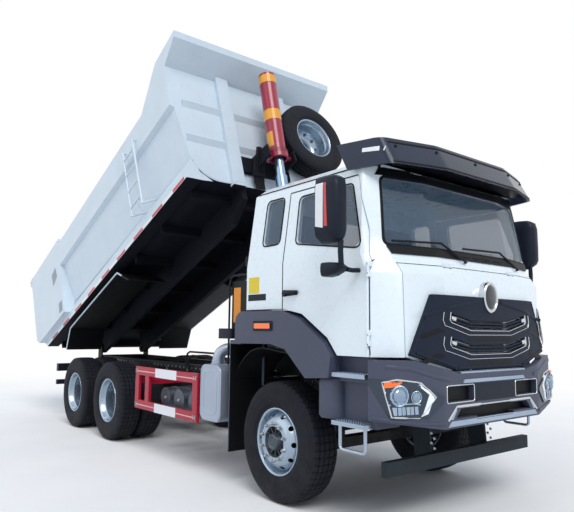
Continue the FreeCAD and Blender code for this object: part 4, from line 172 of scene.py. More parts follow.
class Shader(Wiring):
    """A material being wired, with its patterns on Object coordinates."""

    def __init__(self, name: str) -> None:
        """Start a material.

        Args:
            name: Its name.
        """
        self.material = bpy.data.materials.new(name)
        self.material.use_nodes = True
        super().__init__(self.material.node_tree)
        self.surface = self.tree.nodes["Principled BSDF"]
        self.place = self.node("ShaderNodeTexCoord").outputs["Object"]

    def noise(self, size: float, detail: float = 4.0, stretch: Point = (1, 1, 1)) -> Socket:
        """Return a noise from 0 to 1.

        Args:
            size: Length of a grain in metres.
            detail: Octaves of finer noise.
            stretch: How many times closer the grains lie along each axis.

        Returns:
            The noise's value.
        """
        spread = self.node("ShaderNodeMapping", {"Vector": self.place, "Scale": stretch})
        inputs = {"Vector": spread.outputs[0], "Scale": 1 / size, "Detail": detail}
        return self.node("ShaderNodeTexNoise", inputs).outputs[0]

    def between(self, value: Socket, low: float, high: float, to_low: float = 0.0,
                to_high: float = 1.0) -> Socket:
        """Return a value mapped from its range (low, high) to another, clamped."""
        inputs = dict(enumerate((value, low, high, to_low, to_high)))
        return self.node("ShaderNodeMapRange", inputs).outputs[0]

    def mixed(self, share: Socket, first: object, second: object) -> Socket:
        """Return a colour between two, by the share of the second."""
        return self.node("ShaderNodeMix", {0: share, 6: first, 7: second}, data_type="RGBA").outputs[2]

    def mottled(self, size: float, first: Point, second: Point) -> Socket:
        """Return a colour that wanders between two in patches of that size."""
        return self.mixed(self.between(self.noise(size), 0.3, 0.7), first, second)

    def bump(self, height: Socket, depth: float) -> None:
        """Raise the surface's relief.

        Args:
            height: Relief from 0 to 1.
            depth: Its depth in metres.
        """
        normal = self.surface.inputs["Normal"]
        below = normal.links[0].from_socket if normal.is_linked else None
        inputs = {"Height": height, "Distance": depth, "Strength": 1.0, "Normal": below}
        self.tree.links.new(self.node("ShaderNodeBump", inputs).outputs[0], normal)


@dataclass(frozen=True)
class Finish:
    """A painted, moulded or metal surface with its mottle, grain and road dust."""

    name: str
    colour: str
    roughness: float = 0.5
    metallic: float = 0.0
    coat: float = 0.0
    grain: float = 0.0
    grain_size: float = 0.003
    mottle: float = 0.05
    mottle_size: float = 0.5
    dust: float = 0.0
    dust_top: float = 1.1
    streaks: float = 0.0
    specular: float = 0.5

    def shade(self, shader: Shader) -> None:
        """Wire the finish.

        Args:
            shader: The material to wire.
        """
        base = linear(self.colour)
        colour = shader.mottled(self.mottle_size, scaled(base, 1 - self.mottle), scaled(base, 1 + self.mottle))
        if self.streaks:
            run = shader.between(shader.noise(0.05, 5, (1, 1, 0.12)), 0.52, 0.75, 0, self.streaks)
            colour = shader.mixed(run, colour, scaled(base, 0.55))
        if self.dust:
            height = shader.node("ShaderNodeSeparateXYZ", {0: shader.place}).outputs[2]
            low = shader.between(height, 0.1, self.dust_top, self.dust, 0)
            film = shader.math("MULTIPLY", low, shader.between(shader.noise(0.12, 6), 0.35, 0.7))
            colour = shader.mixed(film, colour, linear("9a948a"))
        rough = shader.between(shader.noise(0.08, 5), 0.3, 0.7, self.roughness * 0.93,
                               min(1.0, self.roughness * 1.07))
        shader.fill(shader.surface, {"Base Color": colour, "Roughness": rough, "Metallic": self.metallic,
                                     "Coat Weight": self.coat, "Coat Roughness": 0.06,
                                     "Specular IOR Level": self.specular})
        if self.grain:
            shader.bump(shader.noise(self.grain_size, 2), self.grain)

    @cache
    def make(self) -> bpy.types.Material:
        """Return the finish's material, wired once.

        Returns:
            The material.
        """
        shader = Shader("fine_" + self.name)
        self.shade(shader)
        return shader.material


@dataclass(frozen=True)
class Glass(Finish):
    """Tinted glass that lets light through, with a faint film of dust."""

    clear: float = 0.85

    def shade(self, shader: Shader) -> None:
        """Wire the glass.

        Args:
            shader: The material to wire.
        """
        base = linear(self.colour)
        film = shader.between(shader.noise(0.3), 0.3, 0.8, self.roughness, self.roughness + 0.05)
        shader.fill(shader.surface, {"Base Color": shader.mottled(0.7, base, scaled(base, 0.93)),
                                     "Roughness": film, "Alpha": 1 - self.clear, "IOR": 1.5,
                                     "Specular IOR Level": 0.8})


@dataclass(frozen=True)
class Studded(Finish):
    """A surface with a grid of raised dots."""

    pitch: float = 0.022
    depth: float = 0.003

    def shade(self, shader: Shader) -> None:
        """Wire the surface.

        Args:
            shader: The material to wire.
        """
        super().shade(shader)
        inputs = {"Vector": shader.place, "Scale": 1 / self.pitch, "Randomness": 0.0}
        cells = shader.node("ShaderNodeTexVoronoi", inputs, voronoi_dimensions="3D")
        shader.bump(shader.between(cells.outputs["Distance"], 0.22, 0.34, 1, 0), self.depth)


@dataclass(frozen=True)
class Lamp(Finish):
    """A lamp's reflector or lens with fine vertical flutes."""

    pitch: float = 0.012
    glow: float = 0.0

    def shade(self, shader: Shader) -> None:
        """Wire the lamp.

        Args:
            shader: The material to wire.
        """
        super().shade(shader)
        inputs = {"Vector": shader.place, "Scale": 0.314 / self.pitch, "Distortion": 0.0}
        flutes = shader.node("ShaderNodeTexWave", inputs, bands_direction="Y")
        shader.bump(flutes.outputs["Fac"], 0.002)
        if self.glow:
            shader.fill(shader.surface, {"Emission Color": linear(self.colour), "Emission Strength": self.glow})


class Paint:
    """The truck's finishes."""

    CAB = Finish("cab_white_enamel", "e2eef5", 0.28, coat=0.5, mottle=0.01, dust=0.03, dust_top=1.6)
    BED = Finish("bed_pale_grey_paint", "cbd9e4", 0.42, coat=0.15, mottle=0.03, mottle_size=0.35,
                 grain=0.0006, grain_size=0.05, streaks=0.08)
    BED_INSIDE = Finish("bed_inside_paint", "b4c0c8", 0.55, mottle=0.08, streaks=0.3)
    # Near-black: painted shade for the bed's underside and the faces behind its skirts, and for the underframe and
    # hoist bracket under the bed.
    UNDER = Finish("bed_underside_paint", "14161f", 0.7, mottle=0.12, specular=0.14)
    FRAME = Finish("frame_paint", "15181e", 0.55, mottle=0.1, dust=0.12, dust_top=1.2, specular=0.25)
    AXLE = Finish("axle_paint", "15171c", 0.6, mottle=0.12, dust=0.15, dust_top=1.0, specular=0.25)
    TRIM = Finish("moulded_trim", "42475a", 0.45, grain=0.0004, grain_size=0.0035, mottle=0.06, dust=0.04,
                  dust_top=1.3, specular=0.4)
    TRIM_DARK = Finish("moulded_trim_dark", "1b212d", 0.4, grain=0.0004, grain_size=0.0035, specular=0.15)
    GRILLE = Finish("grille_plastic", "212836", 0.5, grain=0.0003, mottle=0.04, specular=0.1)
    VISOR = Finish("visor_plastic", "222c40", 0.2, mottle=0.08, specular=0.28)
    # Near-black, darker than the visor: painted shade for the visor's underside and the cab's header beneath it.
    VISOR_LIT = Finish("visor_underside", "0b0e14", 0.35, mottle=0.1, specular=0.2)
    BLACK = Finish("black_plastic", "0f1014", 0.5, grain=0.0003, specular=0.2)
    INTERIOR = Finish("interior_trim", "26292e", 0.75, grain=0.0006, grain_size=0.004, specular=0.3)
    SEAT = Finish("seat_cloth", "22242a", 0.9, grain=0.001, grain_size=0.002, mottle=0.1, mottle_size=0.01,
                  specular=0.2)
    RUBBER = Finish("tyre_rubber", "171a22", 0.72, grain=0.0005, grain_size=0.004, mottle=0.12,
                    mottle_size=0.15, dust=0.04, dust_top=0.7, specular=0.2)
    HOSE = Finish("hose_rubber", "15161b", 0.6, grain=0.0004, specular=0.2)
    SEAL = Finish("window_seal_rubber", "0d0e11", 0.7, grain=0.0002, specular=0.2)
    RIM = Finish("rim_silver", "9fb0c0", 0.26, metallic=0.75, coat=0.3, mottle=0.08, dust=0.1, dust_top=0.9)
    HUB = Finish("hub_grey", "49525c", 0.4, metallic=0.6, mottle=0.14, dust=0.1, dust_top=0.9)
    CHROME = Finish("chrome", "d3d7da", 0.1, metallic=1.0, mottle=0.03)
    MIRROR = Finish("mirror_glass", "c9d3d8", 0.03, metallic=1.0, mottle=0.01)
    STEEL = Finish("brushed_steel", "a9afb4", 0.35, metallic=0.9, grain=0.0002, mottle=0.08)
    TREAD = Studded("step_tread_aluminium", "a4b4c6", 0.36, metallic=0.6, mottle=0.08, pitch=0.02)
    PIPE = Finish("step_pipe", "a9b7c5", 0.22, metallic=0.8, mottle=0.06)
    UNDERRUN = Finish("underrun_paint", "262e34", 0.6, mottle=0.08, grain=0.0003, specular=0.18)
    GUARD_RED = Finish("guard_red_paint", "a3132f", 0.4, coat=0.25, specular=0.3)
    GUARD_WHITE = Finish("guard_white_paint", "e3e6ec", 0.42, coat=0.2)
    GUARD_LINE = Finish("guard_pale_line", "e9a9b4", 0.42)
    TANK = Finish("tank_paint", "565d68", 0.35, metallic=0.5, mottle=0.1)
    ALUMINIUM = Finish("aluminium_sheet", "a9b4c4", 0.38, metallic=0.6, grain=0.0003, grain_size=0.02,
                       mottle=0.06, dust=0.06)
    HOIST = Finish("hoist_crimson_paint", "970f37", 0.32, coat=0.35, mottle=0.06)
    HOIST_YELLOW = Finish("hoist_yellow_paint", "e39d2c", 0.4, coat=0.2)
    HOIST_DARK = Finish("hoist_dark_line", "5d1024", 0.4)
    ROD = Finish("hoist_rod_chrome", "8aa6c2", 0.22, metallic=0.9, mottle=0.06)
    LABEL = Finish("blank_yellow_label", "dcc634", 0.5, mottle_size=0.02)
    LABEL_ORANGE = Finish("blank_orange_label", "df8c28", 0.5, mottle_size=0.02)
    AMBER = Lamp("amber_lens", "ee6a1c", 0.2, coat=0.6, glow=0.25)
    RED_LENS = Lamp("red_lens", "b3121d", 0.2, coat=0.6, glow=0.1)
    REFLECTOR = Lamp("lamp_reflector", "a9bccf", 0.18, metallic=0.85)
    LIGHT_BAR = Lamp("light_bar", "e9f1f8", 0.2, coat=0.5, glow=0.15, pitch=0.02)
    LAMP_BLACK = Finish("lamp_bezel", "333f4d", 0.2, metallic=0.6, coat=0.4)
    PROJECTOR = Finish("lamp_projector", "8ea3b8", 0.06, metallic=0.9, coat=0.8)
    BOSS = Finish("boss_dark_dome", "1b232e", 0.15, coat=0.6)
    TAPE_RED = Studded("tape_red", "c3202c", 0.35, coat=0.4, pitch=0.006, depth=0.0002)
    TAPE_WHITE = Studded("tape_white", "e8eaec", 0.35, coat=0.4, pitch=0.006, depth=0.0002)
    # Darker grey: painted shade standing for recessed panels on the bed's sides.
    PATCH = Finish("bed_recess_paint", "8b98a4", 0.5, mottle=0.06)
    WINDOW = Glass("window_glass", "4a657e", 0.02, clear=0.62)


# ---- shapes


class Shape:
    """A mesh being put together from simple forms, in place."""

    def __init__(self) -> None:
        """Start with nothing."""
        self.points: list[Vector] = []
        self.faces: list[list[int]] = []

    def add(self, points: Iterable[Point], faces: Iterable[Sequence[int]]) -> "Shape":
        """Add points, and faces given by the numbers of those points.

        Args:
            points: The new points.
            faces: The new faces.

        Returns:
            The shape.
        """
        start = len(self.points)
        self.points += [Vector(p) for p in points]
        self.faces += [[start + i for i in face] for face in faces]
        return self

    def loft(self, rings: Sequence[Sequence[Point]], endless: bool = False) -> "Shape":
        """Add a skin over rings of equal length.

        Args:
            rings: The rings of points.
            endless: Whether the last ring joins the first. Otherwise both ends are closed.

        Returns:
            The shape.
        """
        size, count = len(rings[0]), len(rings)
        faces = []
        for row in range(count if endless else count - 1):
            here, after = row * size, (row + 1) % count * size
            for i in range(size):
                j = (i + 1) % size
                faces.append((here + i, here + j, after + j, after + i))
        if not endless:
            faces += [range(size)[::-1], range((count - 1) * size, count * size)]
        return self.add([p for ring in rings for p in ring], faces)

    def box(self, corner: Point, opposite: Point) -> "Shape":
        """Add a box between two opposite corners."""
        (a, d), (b, e), (c, f) = (sorted(pair) for pair in zip(corner, opposite))
        return self.loft([[(a, b, z), (d, b, z), (d, e, z), (a, e, z)] for z in (c, f)])

    def prism(self, outline: Sequence[Point], axis: Axis, start: float, end: float) -> "Shape":
        """Add an outline drawn out along an axis, from start to end."""
        return self.loft([[[(depth, u, v)[i] for i in axis.value] for u, v in outline]
                          for depth in sorted((start, end))])

    def lathe(self, profile: Sequence[Point], steps: int = 64) -> "Shape":
        """Add a closed profile of (along Y, radius) turned about the Y axis."""
        return self.loft([[(r * sin(t), y, r * cos(t)) for y, r in profile] for t in turns(steps)],
                         endless=True)

    def tube(self, path: Sequence[Point], radius: float, sides: int = 10, flat: float = 1.0) -> "Shape":
        """Add a round bar along a path.

        Args:
            path: The points it passes.
            radius: Its radius.
            sides: Faces around.
            flat: Share of the radius that is left across the bar.

        Returns:
            The shape.
        """
        points = [Vector(p) for p in path]
        across = (points[1] - points[0]).normalized().orthogonal().normalized()
        rings = []
        for point, before, after in zip(points, points[:1] + points, points[1:] + points[-1:]):
            ahead = (after - before).normalized()
            across = (across - across.dot(ahead) * ahead).normalized()
            up = ahead.cross(across)
            rings.append([point + across * (radius * cos(t)) + up * (radius * flat * sin(t))
                          for t in turns(sides)])
        return self.loft(rings)

    def moved(self, turn: Matrix) -> "Shape":
        """Return a copy turned or moved by a matrix."""
        return Shape().add([turn @ p for p in self.points], self.faces)

    def shifted(self, way: Vector) -> "Shape":
        """Return a copy moved that way."""
        return self.moved(Matrix.Translation(way))

    def joined(self, *others: "Shape") -> "Shape":
        """Add other shapes to this one and return it."""
        for other in others:
            self.add(other.points, other.faces)
        return self

    def mesh(self, name: str) -> bpy.types.Mesh:
        """Return the shape as a mesh with its faces pointing outwards.

        Args:
            name: The mesh's name.

        Returns:
            The mesh.
        """
        made = bpy.data.meshes.new(name)
        made.from_pydata([tuple(p) for p in self.points], [], self.faces)
        made.validate()
        work = bmesh.new()
        work.from_mesh(made)
        bmesh.ops.remove_doubles(work, verts=work.verts, dist=1e-6)
        bmesh.ops.recalc_face_normals(work, faces=work.faces)
        work.to_mesh(made)
        work.free()
        return made


def placed(name: str, data: bpy.types.ID) -> bpy.types.Object:
    """Put a mesh, lamp or camera into the scene.

    Args:
        name: The object's name.
        data: What it shows.

    Returns:
        The object.
    """
    made = bpy.data.objects.new(name, data)
    bpy.context.scene.collection.objects.link(made)
    return made


def from_mesh(mesh: bpy.types.Mesh) -> Shape:
    """Turn a mesh into a shape, and let the mesh go.

    Args:
        mesh: The mesh.

    Returns:
        The shape.
    """
    made = Shape().add([v.co for v in mesh.vertices], [list(p.vertices) for p in mesh.polygons])
    bpy.data.meshes.remove(mesh)
    return made


def applied(holder: bpy.types.Object) -> Shape:
    """Turn what an object's modifiers make of it into a shape, and let the object go.

    Args:
        holder: The object.

    Returns:
        The shape.
    """
    graph = bpy.context.evaluated_depsgraph_get()
    graph.update()
    made = bpy.data.meshes.new_from_object(holder.evaluated_get(graph), depsgraph=graph)
    holder.modifiers.clear()
    bpy.data.objects.remove(holder)
    return from_mesh(made)


def cut(shape: Shape, *tools: Shape) -> Shape:
    """Take shapes away from a shape.

    Args:
        shape: The shape, closed.
        tools: Closed shapes to take away.

    Returns:
        What is left.
    """
    holder = placed("holder", shape.mesh("whole"))
    cutter = placed("cutter", Shape().joined(*tools).mesh("cutter"))
    change = holder.modifiers.new("cut", "BOOLEAN")
    change.operation, change.solver = "DIFFERENCE", "EXACT"
    change.object, change.use_self = cutter, True
    left = applied(holder)
    bpy.data.objects.remove(cutter)
    return left


def merged_copy(node: str) -> bpy.types.Mesh:
    """Copy a CAD node's mesh with its doubles merged and its flat faces whole.

    Args:
        node: The node.

    Returns:
        The mesh, in place.
    """
    work = bmesh.new()
    work.from_mesh(frame["nodes"][node].data)
    bmesh.ops.remove_doubles(work, verts=work.verts, dist=2e-5)
    bmesh.ops.dissolve_limit(work, angle_limit=radians(0.4), verts=work.verts, edges=work.edges)
    made = bpy.data.meshes.new(node + "_copy")
    work.to_mesh(made)
    work.free()
    for name in ("custom_normal", "sharp_edge"):
        if name in made.attributes:
            made.attributes.remove(made.attributes[name])
    return made


def piece(name: str, form: Shape | bpy.types.Mesh, finish: Finish, body: str,
          replaces: Sequence[str] = (), bevel: float = 0.0, angle: float = 35.0) -> bpy.types.Object:
    """Make a form a piece of the truck.

    Args:
        name: The piece's name.
        form: Its shape or mesh, in place.
        finish: Its finish.
        body: The body that carries it.
        replaces: CAD nodes that it stands for.
        bevel: Width of its rounded edges.
        angle: Sharpest edge that is shaded smooth, in degrees.

    Returns:
        The piece.
    """
    mesh = form.mesh(name) if isinstance(form, Shape) else form
    mesh.polygons.foreach_set("use_smooth", [True] * len(mesh.polygons))
    mesh.set_sharp_from_angle(angle=radians(angle))
    mesh.materials.clear()
    mesh.materials.append(finish.make())
    made = placed(name, mesh)
    if bevel:
        soft = made.modifiers.new("rounded_edges", "BEVEL")
        soft.width, soft.segments, soft.harden_normals = bevel, 2, True
        soft.limit_method, soft.angle_limit = "ANGLE", radians(angle)
    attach(made, body)
    if replaces:
        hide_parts(*replaces)
    LOG.info("%s on %s: %d faces", name, body, len(mesh.polygons))
    return made


class Repeat(Wiring):
    """A Geometry Nodes tree that repeats one mesh."""

    def __init__(self, name: str, **sizes: str) -> None:
        """Start a tree.

        Args:
            name: Its name.
            sizes: The socket type of each of its sizes.
        """
        super().__init__(bpy.data.node_groups.new(name, "GeometryNodeTree"))
        add_socket = self.tree.interface.new_socket
        for label, kind in {"Geometry": "Geometry", **sizes, "Finish": "Material"}.items():
            add_socket(label, in_out="INPUT", socket_type="NodeSocket" + kind)
        add_socket("Geometry", in_out="OUTPUT", socket_type="NodeSocketGeometry")
        self.sizes = self.node("NodeGroupInput").outputs
        self.index = self.node("GeometryNodeInputIndex").outputs[0]

    def end(self, place: Socket | None, turn: Socket | None) -> bpy.types.NodeTree:
        """Set the copies on points, make them real and give them their finish.

        Args:
            place: Each copy's place.
            turn: Each copy's turn.

        Returns:
            The tree.
        """
        points = self.node("GeometryNodePoints", {"Count": self.sizes["Count"], "Position": place})
        copies = self.node("GeometryNodeInstanceOnPoints", {
            "Points": points.outputs[0], "Instance": self.sizes["Geometry"], "Rotation": turn})
        real = self.node("GeometryNodeRealizeInstances", {0: copies.outputs[0]})
        dressed = self.node("GeometryNodeSetMaterial", {
            "Geometry": real.outputs[0], "Material": self.sizes["Finish"]})
        self.node("NodeGroupOutput", {0: dressed.outputs[0]})
        return self.tree


@cache
def ring_tree() -> bpy.types.NodeTree:
    """Build the tree that turns copies about the Y axis, with the input Count.

    Returns:
        The tree.
    """
    made = Repeat("ring_of_copies", Count="Int")
    share = made.math("DIVIDE", made.index, made.sizes["Count"])
    turn = made.node("ShaderNodeCombineXYZ", {"Y": made.math("MULTIPLY", share, 2 * pi)})
    return made.end(None, turn.outputs[0])


@cache
def grid_tree() -> bpy.types.NodeTree:
    """Build the tree that sets copies in rows, with inputs Count, Row, Step and Shift.

    Returns:
        The tree.
    """
    made = Repeat("grid_of_copies", Count="Int", Row="Int", Step="Vector", Shift="Vector")
    column = made.math("MODULO", made.index, made.sizes["Row"])
    line = made.math("FLOOR", made.math("DIVIDE", made.index, made.sizes["Row"]))
    along, aside = (made.node("ShaderNodeVectorMath", {0: made.sizes[way], "Scale": count}, operation="SCALE")
                    for way, count in (("Step", column), ("Shift", line)))
    place = made.node("ShaderNodeVectorMath", {0: along.outputs[0], 1: aside.outputs[0]})
    return made.end(place.outputs[0], None)


def repeated(shape: Shape, tree: bpy.types.NodeTree, finish: Finish, **sizes: object) -> Shape:
    """Repeat a shape by a tree.

    Args:
        shape: The shape.
        tree: The tree.
        finish: The copies' finish.
        sizes: Values of the tree's inputs by name.

    Returns:
        All the copies as one shape.
    """
    holder = placed("holder", shape.mesh("one"))
    modifier = holder.modifiers.new("repeat", "NODES")
    modifier.node_group = tree
    values = {**sizes, "Finish": finish.make()}
    for item in tree.interface.items_tree:
        if item.in_out == "INPUT" and item.name in values:
            modifier[item.identifier] = values[item.name]
    return applied(holder)


def ring(shape: Shape, count: int, finish: Finish) -> Shape:
    """Return that many copies of a shape turned about the Y axis."""
    return repeated(shape, ring_tree(), finish, Count=count)


def grid(shape: Shape, step: Point, finish: Finish, count: int, row: int = 0, shift: Point = (0, 0, 0)) -> Shape:
    """Return that many copies of a shape a step apart, in rows of that many a shift apart."""
    return repeated(shape, grid_tree(), finish, Count=count, Row=row or count, Step=step, Shift=shift)


# ---- wheels

MIRROR = Matrix.Scale(-1, 4, (0, 1, 0))


def doubled(half: Sequence[Point]) -> list[Point]:
    """Return half a turned profile with its mirror image after it."""
    return [*half, *((-y, r) for y, r in reversed(half))]


@dataclass(frozen=True)
class Tyre:
    """A radial tyre about the Y axis: a casing with rim guard and shoulder line, and ribs of blocks."""

    wall: tuple = ((0.118, 0.3), (0.126, 0.3), (0.137, 0.318), (0.146, 0.338), (0.1495, 0.343),
                   (0.1495, 0.349), (0.15, 0.36), (0.1555, 0.392), (0.1555, 0.43), (0.152, 0.462),
                   (0.1525, 0.468), (0.149, 0.474), (0.145, 0.495), (0.14, 0.51), (0.128, 0.52), (0.1, 0.524))
    crown: float = 0.538
    foot: float = 0.5
    pitches: int = 54
    gap: float = 0.06
    ribs: tuple = ((-0.024, 0.024, 0, 0, 0.25), (0.032, 0.078, 0, 0.001, 0.2), (-0.078, -0.032, 0.001, 0, 0.2),
                   (0.087, 0.122, 0.002, 0.007, 0), (0.122, 0.1405, 0.007, 0.03, 0),
                   (-0.122, -0.087, 0.007, 0.002, 0), (-0.1405, -0.122, 0.03, 0.007, 0))

    def shape(self) -> Shape:
        """Build the tyre. A rib is its limits across, its drop below the crown at each, and its skew.

        Returns:
            The tyre, centred on the origin.
        """
        pitch = 2 * pi / self.pitches
        half = pitch * (0.5 - self.gap)
        blocks = Shape()
        for left, right, left_drop, right_drop, skew in self.ribs:
            rings = []
            for y, top, lead in ((left, self.crown - left_drop, 0.0), (right, self.crown - right_drop, skew * pitch)):
                edge = ((self.foot, -half), (top, -half), (top, 0), (top, half), (self.foot, half))
                rings.append([(r * sin(lead + a), y, r * cos(lead + a)) for r, a in edge])
            blocks.loft(rings)
        return Shape().lathe(doubled(self.wall), 96).joined(ring(blocks, self.pitches, Paint.RUBBER))


@dataclass(frozen=True)
class Rim:
    """A steel disc wheel about the Y axis, its disc's face out on the positive side."""

    inside: tuple = ((0.128, 0.302), (0.134, 0.299), (0.136, 0.292), (0.131, 0.284), (0.114, 0.276),
                     (0.075, 0.27), (0.055, 0.254))
    outside: tuple = ((0.124, 0.298), (0.122, 0.288), (0.112, 0.284), (0.075, 0.28), (0.055, 0.264))
    dish: tuple = ((0.05, 0.262), (0.07, 0.26), (0.092, 0.25), (0.13, 0.222), (0.15, 0.202), (0.157, 0.192))
    wall: float = 0.009
    face: float = 0.16
    flat: float = 0.187
    bore: float = 0.137
    holes: int = 10
    hole: float = 0.024
    hole_circle: float = 0.233
    nut_circle: float = 0.164
    nut_parts: tuple = ((0.021, -0.002, 0.006, 16), (0.0165, 0.006, 0.028, 6), (0.01, 0.028, 0.04, 10))

    def shape(self) -> Shape:
        """Build the rolled barrel and the dished disc with its hand holes.

        Returns:
            Both, as one shape.
        """
        f, w = self.face, self.wall
        front = [*self.dish, (f, self.flat), (f, self.bore)]
        back = [*((y - w, r - w * 0.6) for y, r in self.dish), (f - w, self.flat - 0.006), (f - w, self.bore)]
        tools = []
        for k in range(self.holes):
            turn = 2 * pi * (k + 0.5) / self.holes
            spot = Vector((sin(turn), 0, cos(turn)))
            middle = spot * self.hole_circle + Vector((0, 0.118, 0))
            out = (spot * 0.55 + Vector((0, 0.83, 0))).normalized() * 0.05
            tools.append(Shape().tube([middle - out, middle + out], self.hole, 20))
        barrel = Shape().lathe(doubled(self.inside) + doubled(self.outside)[::-1], 96)
        return barrel.joined(cut(Shape().lathe(front + back[::-1], 96), *tools))

    def nuts(self, base: float) -> Shape:
        """Build the ring of nuts with their washers and studs.

        Args:
            base: Where the disc's face is along Y.

        Returns:
            The nuts.
        """
        nut = Shape()
        for radius, low, high, sides in self.nut_parts:
            nut.loft([[(radius * share * cos(t), base + y, self.nut_circle + radius * share * sin(t))
                       for t in turns(sides)] for y, share in ((low, 1.0), (high - 0.002, 1.0), (high, 0.86))])
        return ring(nut, self.holes, Paint.STEEL)


@dataclass(frozen=True)
class Hub:
    """A hub about the Y axis with ribs and bolts round it, measured along Y from its disc's face."""

    face: float
    profile: tuple
    rib: tuple
    ribs: int
    bolt: tuple
    bolts: int
    bolt_radius: float
    bolt_sides: int

    def shape(self) -> Shape:
        """Build the hub.

        Returns:
            The hub.
        """
        (start, low), (end, high) = self.rib
        rib = Shape().box((-0.005, self.face + start, low), (0.005, self.face + end, high))
        bolt = Shape().tube([(0, self.face + y, r) for y, r in self.bolt], self.bolt_radius, self.bolt_sides)
        return Shape().lathe([(self.face + y, r) for y, r in self.profile]).joined(
            ring(rib, self.ribs, Paint.HUB), ring(bolt, self.bolts, Paint.HUB))


@dataclass(frozen=True)
class Wheels:
    """The two front wheels, four twin rear wheels and the spare."""

    tyre: Tyre = Tyre()
    rim: Rim = Rim()
    front_hub: Hub = Hub(0.16, (
        (-0.06, 0.139), (-0.012, 0.139), (-0.006, 0.134), (-0.024, 0.126), (-0.045, 0.114), (-0.05, 0.1),
        (-0.04, 0.088), (-0.004, 0.078), (0.02, 0.07), (0.028, 0.058), (0.024, 0.046), (0.018, 0.04),
        (0.02, 0.02), (0.02, 0.002), (-0.06, 0.002)),
        ((-0.048, 0.08), (-0.014, 0.132)), 12, ((0.01, 0.058), (0.033, 0.058)), 6, 0.006, 8)
    rear_hub: Hub = Hub(-0.16, (
        (-0.02, 0.139), (0.018, 0.139), (0.03, 0.13), (0.035, 0.118), (0.11, 0.108), (0.135, 0.112),
        (0.14, 0.12), (0.156, 0.12), (0.16, 0.112), (0.162, 0.06), (0.17, 0.05), (0.17, 0.002), (-0.02, 0.002)),
        ((0.03, 0.1), (0.14, 0.122)), 10, ((0.15, 0.095), (0.174, 0.095)), 10, 0.009, 6)
    radius: float = 0.538
    front_y: float = 1.02
    rear_y: tuple[float, float] = (1.0905, 0.7455)
    rear_x: tuple[float, float] = (-3.825, -5.175)

    def place(self, x: float, y: float, side: Side) -> Matrix:
        """Return where a wheel stands, mirrored for the right side."""
        return Matrix.Translation(at(x, y * side.value, self.radius)) @ Matrix.Scale(side.value, 4, (0, 1, 0))

    def wheel(self, body: str, tyre_node: str, rim_node: str, parts: Sequence[Shape]) -> None:
        """Make one wheel's pieces.

        Args:
            body: The body that turns.
            tyre_node: The CAD node of its tyres.
            rim_node: The CAD node of its rims.
            parts: Its tyres, rims, nuts and hub, in place.
        """
        rows = (("_rubber", Paint.RUBBER, "tyre_rubber", (tyre_node,)), ("_discs", Paint.RIM, "rim_paint", (rim_node,)),
                ("_nuts", Paint.STEEL, "rim_paint", ()), ("_hub", Paint.HUB, "rim_paint", ()))
        for (ending, finish, slot, nodes), shape in zip(rows, parts):
            piece(body + ending, shape, finish, body, nodes)

    def dress(self) -> None:
        """Build every wheel and stand it for its CAD nodes."""
        tyre, rim, face = self.tyre.shape(), self.rim.shape(), self.rim.face
        flipped = rim.moved(MIRROR)
        nuts, dish_nuts = self.rim.nuts(face), self.rim.nuts(self.rim.wall - face)
        front_hub, rear_hub = self.front_hub.shape(), self.rear_hub.shape()
        for side in Side:
            spot = self.place(0.0, self.front_y, side)
            self.wheel("front_wheel_" + side.tag, "front_tyre_" + side.tag, "front_rim_" + side.tag,
                       [shape.moved(spot) for shape in (tyre, rim, nuts, front_hub)])
            for number, x in enumerate(self.rear_x, 1):
                ending = "_%d_%s" % (number, side.tag)
                outer, inner = (self.place(x, y, side) for y in self.rear_y)
                self.wheel("rear_wheels" + ending, "rear_tyres" + ending, "rear_rims" + ending,
                           [tyre.moved(outer).joined(tyre.moved(inner)),
                            flipped.moved(outer).joined(rim.moved(inner)),
                            dish_nuts.moved(outer), rear_hub.moved(outer)])
        spot = BED.spare_place()
        piece("spare_wheel_tyre", tyre.moved(spot), Paint.RUBBER, "bed", ("spare_tyre",))
        piece("spare_wheel_rim", flipped.moved(spot), Paint.RIM, "bed", ("spare_rim",))


@dataclass(frozen=True)
class BedFrame:
    """Places on the raised bed, from its measures when lowered."""

    hinge: Vector = at(-6.2, 0, 1.18)
    corner: Vector = at(-1.25, 0, 1.454)
    tilt: float = 23.0
    lean: float = 0.139 / 1.607
    spare: tuple[float, float, float] = (0.705, 0.775, 0.248)

    def lift(self) -> Matrix:
        """Return the turn about the hinge from lowered to raised."""
        turn = Matrix.Rotation(radians(-self.tilt), 4, "Y")
        return Matrix.Translation(self.hinge) @ turn @ Matrix.Translation(-self.hinge)

    def on(self, x: float, y: float, h: float) -> Vector:
        """Return a raised point from its place ahead of the floor's front edge and above the floor."""
        return self.lift() @ (self.corner + Vector((x, y, h)))

    def shape(self, lowered: Shape) -> Shape:
        """Return a shape drawn in bed measures, placed on the raised bed."""
        return lowered.moved(self.lift() @ Matrix.Translation(self.corner))

    def spare_place(self) -> Matrix:
        """Find where the spare wheel is bolted to the leaning front wall.

        Returns:
            The turn and move from a wheel about the Y axis.
        """
        slope = atan(self.lean)
        outward = Vector((cos(slope), 0, -sin(slope)))
        up = Vector((sin(slope), 0, cos(slope)))
        aside, height, stand = self.spare
        centre = self.corner + Vector((0, aside, 0)) + up * height + outward * stand
        axle = Matrix(((0, outward.x, up.x, 0), (1, 0, 0, 0), (0, outward.z, up.z, 0), (0, 0, 0, 1)))
        return self.lift() @ Matrix.Translation(centre) @ axle


BED = BedFrame()


# ---- studio


